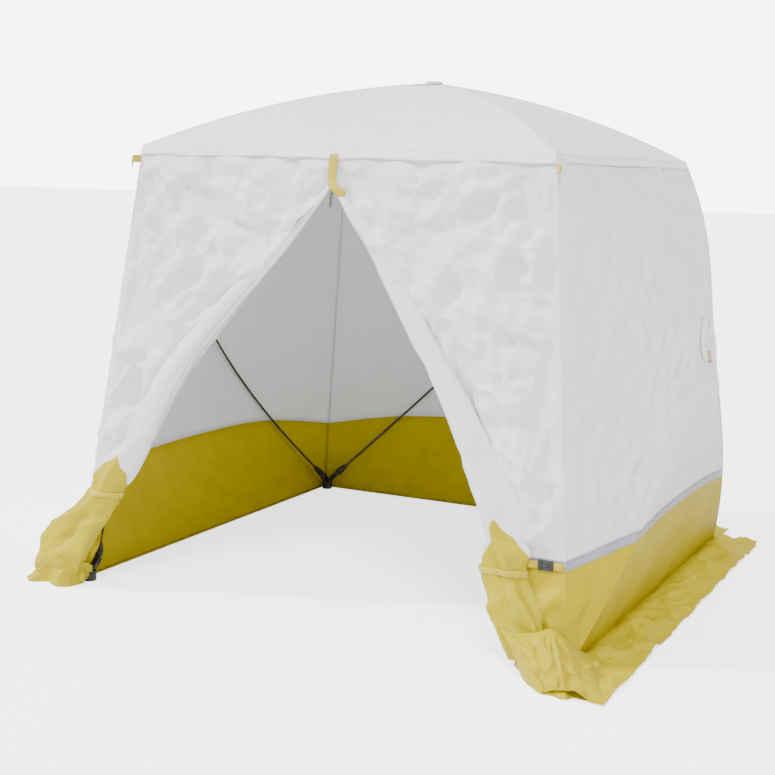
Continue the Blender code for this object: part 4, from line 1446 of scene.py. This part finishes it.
class Rods:
    """The glass-fibre rods, each with a boot at its corner end and a ferrule in its hub."""

    RADIUS = 0.0045
    BOW = 0.070
    REACH = 0.100
    DEPTH = 0.025

    def __init__(self, shell: Shell) -> None:
        """Keeps the shell whose corners the rods start from."""
        self.shell = shell

    def build(self) -> None:
        """All sixteen rods, standing for the frame's own."""
        names = {
            "roof": ("front_left", "front_right", "back_right", "back_left"),
            "right": ("foot_front", "foot_back", "top_back", "top_front"),
            "back": ("foot_right", "foot_left", "top_left", "top_right"),
            "left": ("foot_back", "foot_front", "top_front", "top_back"),
        }
        for panel in (self.shell.roof, *self.shell.walls):
            for corner, words in enumerate(names[panel.name]):
                self.build_rod(panel, corner, f"rod_{panel.name}_{words}")
        LOG.info("rods built")

    def build_rod(self, panel: Panel, corner: int, node: str) -> None:
        """One rod, bowed outwards under the cloth.

        Args:
            panel: the panel it stretches.
            corner: the corner it starts from.
            node: the frame's node that it stands for.
        """
        place = panel.corners[corner]
        towards = (panel.apex - place).normalized()
        pivot = place + towards * self.REACH - panel.normal * self.DEPTH
        flat = (panel.apex - pivot - panel.normal * self.DEPTH).length - 0.0125
        rise = panel.throw - 0.012 - 0.004 - 0.024 + self.DEPTH
        run = sqrt(flat**2 - rise**2)

        def point(s: float) -> Vector:
            """The point of the rod's middle line at a share of its run."""
            return pivot + towards * run * s + panel.normal * (rise * s + 4 * self.BOW * s * (1 - s))

        stations = [(0.013, 0.0128), (0.0155, 0.0150), (0.028, 0.0150), (0.052, 0.0105), (0.060, 0.0085),
                    (0.0615, 0.0060)]
        stations += [(0.064 + (run - 0.112) * k / 40, self.RADIUS) for k in range(41)]
        stations += [(run - 0.047, 0.0052), (run - 0.002, 0.0052), (run, 0.0035)]
        bm = tube([point(x / run) for x, _ in stations], [r for _, r in stations], 14)
        eye = tube([point(-0.007 / run), point(0.016 / run)], [0.0085, 0.0085], 14)
        obj = new_object(f"{node}_bowed", join([bm, eye]), Finish.ROD)
        obj.data.set_sharp_from_angle(angle=radians(40))
        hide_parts(node)
        panel.blend_ridge(obj)


class Hardware:
    """Hub caps and pulls, buckles, tabs and rings."""

    def __init__(self, shell: Shell) -> None:
        """Keeps the shell that carries the hubs."""
        self.shell = shell

    def frame_on(self, panel: Panel) -> Matrix:
        """A frame at a hub's cap: Z outwards, Y up the wall.

        Args:
            panel: the hub's panel.

        Returns:
            The matrix of the frame.
        """
        up = Vector((0, 0, 1)) if panel.name != "roof" else Vector((0, 1, 0))
        z = panel.normal
        x = up.cross(z).normalized()
        y = z.cross(x)
        rows = Matrix((x, y, z)).transposed().to_4x4()
        return Matrix.Translation(panel.apex + panel.normal * (panel.throw + 0.001)) @ rows

    def build_caps(self) -> None:
        """A turned cap on each hub, with a webbing pull under it."""
        profile = [(0.0315, 0.0), (0.032, 0.0012), (0.0305, 0.0040), (0.0265, 0.0070), (0.0235, 0.0085),
                   (0.0195, 0.0088), (0.0175, 0.0075), (0.0150, 0.0074), (0.0, 0.0076)]
        for panel in (self.shell.roof, *self.shell.walls):
            here = self.frame_on(panel)

            def place(u: float, v: float, here: Matrix = here) -> Vector:
                """The point at (u, v)."""
                radius, height = along(profile, v)
                return here @ Vector((radius * cos(2 * pi * u), radius * sin(2 * pi * u), height))

            bm = grid(place, 64, 32, closed=True)
            bmesh.ops.remove_doubles(bm, verts=bm.verts, dist=1e-6)
            obj = new_object(f"cap_{panel.name}", bm, Finish.PALE)
            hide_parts(f"hub_cap_{panel.name}")
            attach(obj, panel.hub)
            self.build_patch(panel, here)
            if panel is self.shell.roof:
                continue
            loop = [(0.0, -0.026, 0.0015), (0.0, -0.040, 0.004), (0.0, -0.054, 0.005), (0.0, -0.066, 0.004)]
            points = [here @ Vector(along(loop, k / 16)) for k in range(17)]
            side = here.to_3x3() @ Vector((1, 0, 0))
            strap = new_object(f"hub_pull_{panel.name}", ribbon(points, [side] * 17, 0.016, 0.0018),
                               Finish.STRAP)
            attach(strap, panel.hub)
            toggle = tube([here @ Vector((-0.011, -0.067, 0.004)), here @ Vector((0.011, -0.067, 0.004))],
                          [0.0045, 0.0045], 16)
            obj = new_object(f"hub_toggle_{panel.name}", toggle, Finish.GREY)
            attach(obj, panel.hub)
        LOG.info("hub caps and pulls built")

    def build_patch(self, panel: Panel, here: Matrix) -> None:
        """A round reinforcing patch of cloth under a hub's cap.

        Args:
            panel: the hub's panel.
            here: the frame at its cap.
        """
        def place(u: float, v: float) -> Vector:
            """The point at (u, v)."""
            angle = 2 * pi * u
            across = Vector((cos(angle), sin(angle), 0))
            radius = mix(0.028, 0.078, v)
            flat = here.to_3x3() @ across
            share = 0.0
            for k in range(4):
                a, b = (end - panel.apex for end in panel.edge(k))
                edge = (b - a).normalized()
                foot = a - edge * a.dot(edge)
                share = max(share, radius * flat.dot(foot) / foot.length_squared)
            return panel.apex + flat * radius + panel.normal * (panel.rise(1 - share) + 0.0032 - 0.0008 * v)

        bm = grid(place, 96, 10, closed=True)
        obj = new_object(f"hub_patch_{panel.name}", bm, Finish.PATCH)
        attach(obj, panel.hub)

    def build_buckles(self) -> None:
        """A socket with a ribbed face, and a plug with two prongs, on each side of the door."""
        for side, sign in (("left", -1), ("right", 1)):
            for part in ("socket", "plug"):
                node = f"buckle_{side}_{part}"
                low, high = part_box(node)
                size = high - low
                middle = (low + high) / 2
                if part == "socket":
                    pieces = [bevelled_box((size.x, size.y * 0.92, size.z), middle, 0.003)]
                    for k in range(4):
                        x = mix(low.x + size.x * 0.25, high.x - size.x * 0.25, k / 3)
                        pieces.append(bevelled_box((0.0018, 0.0025, size.z * 0.6),
                                                   (x, low.y + 0.0008, middle.z), 0.0006, 2))
                else:
                    head = 0.0143
                    x = low.x + head / 2 if sign > 0 else high.x - head / 2
                    pieces = [bevelled_box((head, size.y * 0.92, size.z), (x, middle.y, middle.z), 0.003)]
                    reach = size.x - head
                    for level in (-1, 1):
                        centre = (x + sign * (head / 2 + reach / 2), middle.y, middle.z + level * 0.0095)
                        pieces.append(bevelled_box((reach, 0.0050, 0.0055), centre, 0.0012, 2))
                obj = new_object(f"{node}_moulded", join(pieces), Finish.BLACK)
                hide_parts(node)
                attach(obj, "root" if part == "socket" else f"buckle_{side}_plug")
            self.build_tails(side, sign)
        LOG.info("buckles built")

    def build_tails(self, side: str, sign: int) -> None:
        """Webbing from the socket to the corner, and from the plug towards the roll.

        Args:
            side: left or right.
            sign: -1 on the left and 1 on the right.
        """
        low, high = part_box(f"buckle_{side}_socket")
        end = high.x if sign > 0 else low.x
        height = (low.z + high.z) / 2
        corner = TENT.wall_at(height)
        rows = [(abs(end) - 0.004, 0.006), (mix(abs(end), corner, 0.5), 0.008), (corner - 0.002, 0.003)]
        points = [TENT.on_front(sign * a, height, b) for a, b in (along(rows, k / 12) for k in range(13))]
        obj = new_object(f"buckle_{side}_anchor", ribbon(points, [Vector((0, 0, 1))] * 13, 0.024, 0.0018),
                         Finish.STRAP)
        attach(obj, "root")
        low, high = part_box(f"buckle_{side}_plug")
        end = low.x if sign > 0 else high.x
        rows = [(abs(end) + 0.006, 0.006), (abs(end) - 0.016, 0.011), (abs(end) - 0.036, 0.017),
                (abs(end) - 0.052, 0.018)]
        points = [TENT.on_front(sign * a, height - 0.001, b)
                  for a, b in (along(rows, k / 12) for k in range(13))]
        obj = new_object(f"buckle_{side}_tail", ribbon(points, [Vector((0, 0, 1))] * 13, 0.022, 0.0018),
                         Finish.STRAP)
        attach(obj, f"buckle_{side}_plug")

    def build_rings(self) -> None:
        """A folded tab at each front top corner, and its ring."""
        for side, sign in (("left", -1), ("right", 1)):
            out = Vector((sign, -1, 0)).normalized()
            across = Vector((0, 0, 1))
            low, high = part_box(f"ring_tab_{side}")
            height = (low.z + high.z) / 2
            start = Vector((low.x if sign > 0 else high.x, high.y, height))
            start -= out * 0.010
            reach = [0.0, 0.012, 0.024, 0.034, 0.0385, 0.034, 0.024, 0.012]
            depth = [0.0012, 0.0012, 0.0013, 0.0024, 0.0, -0.0024, -0.0013, -0.0012]
            normal = out.cross(across)
            points = [start + out * (r - 0.003) + normal * d for r, d in zip(reach, depth)]
            obj = new_object(f"tab_{side}", ribbon(points, [across] * 8, 0.025, 0.0013), Finish.STRAP)
            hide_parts(f"ring_tab_{side}")
            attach(obj, "root")
            low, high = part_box(f"ring_{side}")
            middle = (low + high) / 2
            major = (high.z - low.z) / 2 - 0.0018
            plane = Vector((sign, 1, 0)).normalized()
            circle = [middle + major * (cos(a) * plane + sin(a) * across)
                      for a in (2 * pi * k / 48 for k in range(48))]
            bm = bmesh.new()
            rings = []
            for k, point in enumerate(circle):
                spoke = (point - middle).normalized()
                other = plane.cross(across)
                rings.append([bm.verts.new(point + 0.0018 * (cos(b) * spoke + sin(b) * other))
                              for b in (2 * pi * j / 14 for j in range(14))])
            for k in range(48):
                for j in range(14):
                    bm.faces.new((rings[k][j], rings[k][(j + 1) % 14], rings[(k + 1) % 48][(j + 1) % 14],
                                  rings[(k + 1) % 48][j]))
            obj = new_object(f"guy_ring_{side}", bm, Finish.STEEL)
            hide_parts(f"ring_{side}")
            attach(obj, f"ring_{side}")
        LOG.info("corner rings built")

    def repaint_frame(self) -> None:
        """The hubs and corner fittings keep their own shapes, with a moulded finish."""
        for name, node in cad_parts.items():
            if name.startswith("corner_") or name in ("hub_left", "hub_right", "hub_back", "hub_roof"):
                for slot in node.material_slots:
                    slot.material = Finish.BLACK.material()

    def build(self) -> None:
        """All the small hardware."""
        self.build_caps()
        self.build_buckles()
        self.build_rings()
        self.repaint_frame()


# The studio


@dataclass(frozen=True)
class View:
    """Where the camera stands and looks, in metres and degrees."""

    place: tuple[float, float, float] = (2.181, -4.807, 1.448)
    yaw: float = 25.9
    pitch: float = -8.6
    roll: float = 1.56
    lens: float = 66.66


class Studio:
    """A pale floor, soft lights and the camera."""

    def build(self) -> None:
        """Sets the scene round the tent."""
        self.floor()
        self.light("key", (-3.6, -1.6, 4.2), 7, 4.2)
        self.light("side", (1.2, -2.8, 4.6), 12, 3.2)
        self.light("top", (0.3, 0.5, 6.0), 50, 1.0)
        world = bpy.data.worlds.new("studio")
        world.use_nodes = True
        tree = world.node_tree
        paths = tree.nodes.new("ShaderNodeLightPath")
        seen = tree.nodes.new("ShaderNodeMapRange")
        seen.inputs["To Min"].default_value = 0.85
        seen.inputs["To Max"].default_value = 7.0
        tree.links.new(paths.outputs["Is Camera Ray"], seen.inputs["Value"])
        tree.nodes["Background"].inputs["Color"].default_value = (1, 1, 1, 1)
        tree.links.new(seen.outputs["Result"], tree.nodes["Background"].inputs["Strength"])
        bpy.context.scene.world = world
        self.camera(View())

    def floor(self) -> None:
        """A wide pale floor."""
        bm = bmesh.new()
        bmesh.ops.create_grid(bm, x_segments=2, y_segments=2, size=60)
        mesh = bpy.data.meshes.new("floor")
        bm.to_mesh(mesh)
        bm.free()
        obj = bpy.data.objects.new("floor", mesh)
        bpy.context.scene.collection.objects.link(obj)
        g = Graph("pale_floor")
        faint = g.noise(0.6, 2)
        colour = g.blend(g.range(faint, 0.3, 0.7), (0.95, 0.95, 0.95), (0.93, 0.93, 0.93))
        seen = g.add("ShaderNodeLightPath").outputs["Is Camera Ray"]
        lift_up = g.math("MULTIPLY", seen, 2.2)
        shader = g.add("ShaderNodeBsdfPrincipled", None, Base_Color=colour, Roughness=0.9,
                       Emission_Color=colour, Emission_Strength=lift_up)
        obj.data.materials.append(g.finish(shader.outputs[0]))

    def light(self, name: str, place: Sequence[float], spread: float, power: float) -> None:
        """One broad, distant light, spread over some degrees of the sky.

        Args:
            name: its name.
            place: where it shines from.
            spread: its width, in degrees.
            power: its strength.
        """
        lamp = bpy.data.lights.new(name, "SUN")
        lamp.angle = radians(spread)
        lamp.energy = power
        obj = bpy.data.objects.new(name, lamp)
        obj.location = place
        obj.rotation_euler = (Vector((0, 0, 0.7)) - Vector(place)).to_track_quat("-Z", "Y").to_euler()
        bpy.context.scene.collection.objects.link(obj)

    def camera(self, view: View) -> None:
        """The camera, with everything sharp.

        Args:
            view: where it stands and looks.
        """
        yaw, pitch, roll = radians(view.yaw), radians(view.pitch), radians(view.roll)
        ahead = Vector((-sin(yaw) * cos(pitch), cos(yaw) * cos(pitch), sin(pitch)))
        right = Vector((cos(yaw), sin(yaw), 0))
        up = right.cross(ahead)
        x = right * cos(roll) + up * sin(roll)
        y = up * cos(roll) - right * sin(roll)
        data = bpy.data.cameras.new("camera")
        data.lens = view.lens
        data.sensor_width = 36
        data.dof.use_dof = False
        data.clip_end = 200
        obj = bpy.data.objects.new("camera", data)
        rows = Matrix((x, y, -ahead)).transposed().to_4x4()
        obj.matrix_world = Matrix.Translation(view.place) @ rows
        bpy.context.scene.collection.objects.link(obj)
        bpy.context.scene.camera = obj


def main() -> None:
    """Builds the tent on its frame, and the studio round it."""
    noise.seed_set(FOLD_SEED)
    logging.basicConfig(level=logging.INFO, format="%(name)s: %(message)s")
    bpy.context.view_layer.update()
    shell = Shell()
    shell.build_roof()
    shell.build_walls()
    shell.build_eaves()
    shell.build_corners()
    for side in (LEFT_DOOR, RIGHT_DOOR):
        Door(side).build()
        ZipFold(side).build()
    ZipHead().build()
    Ground().build()
    Rods(shell).build()
    Hardware(shell).build()
    Studio().build()


if __name__ == "__main__":
    main()
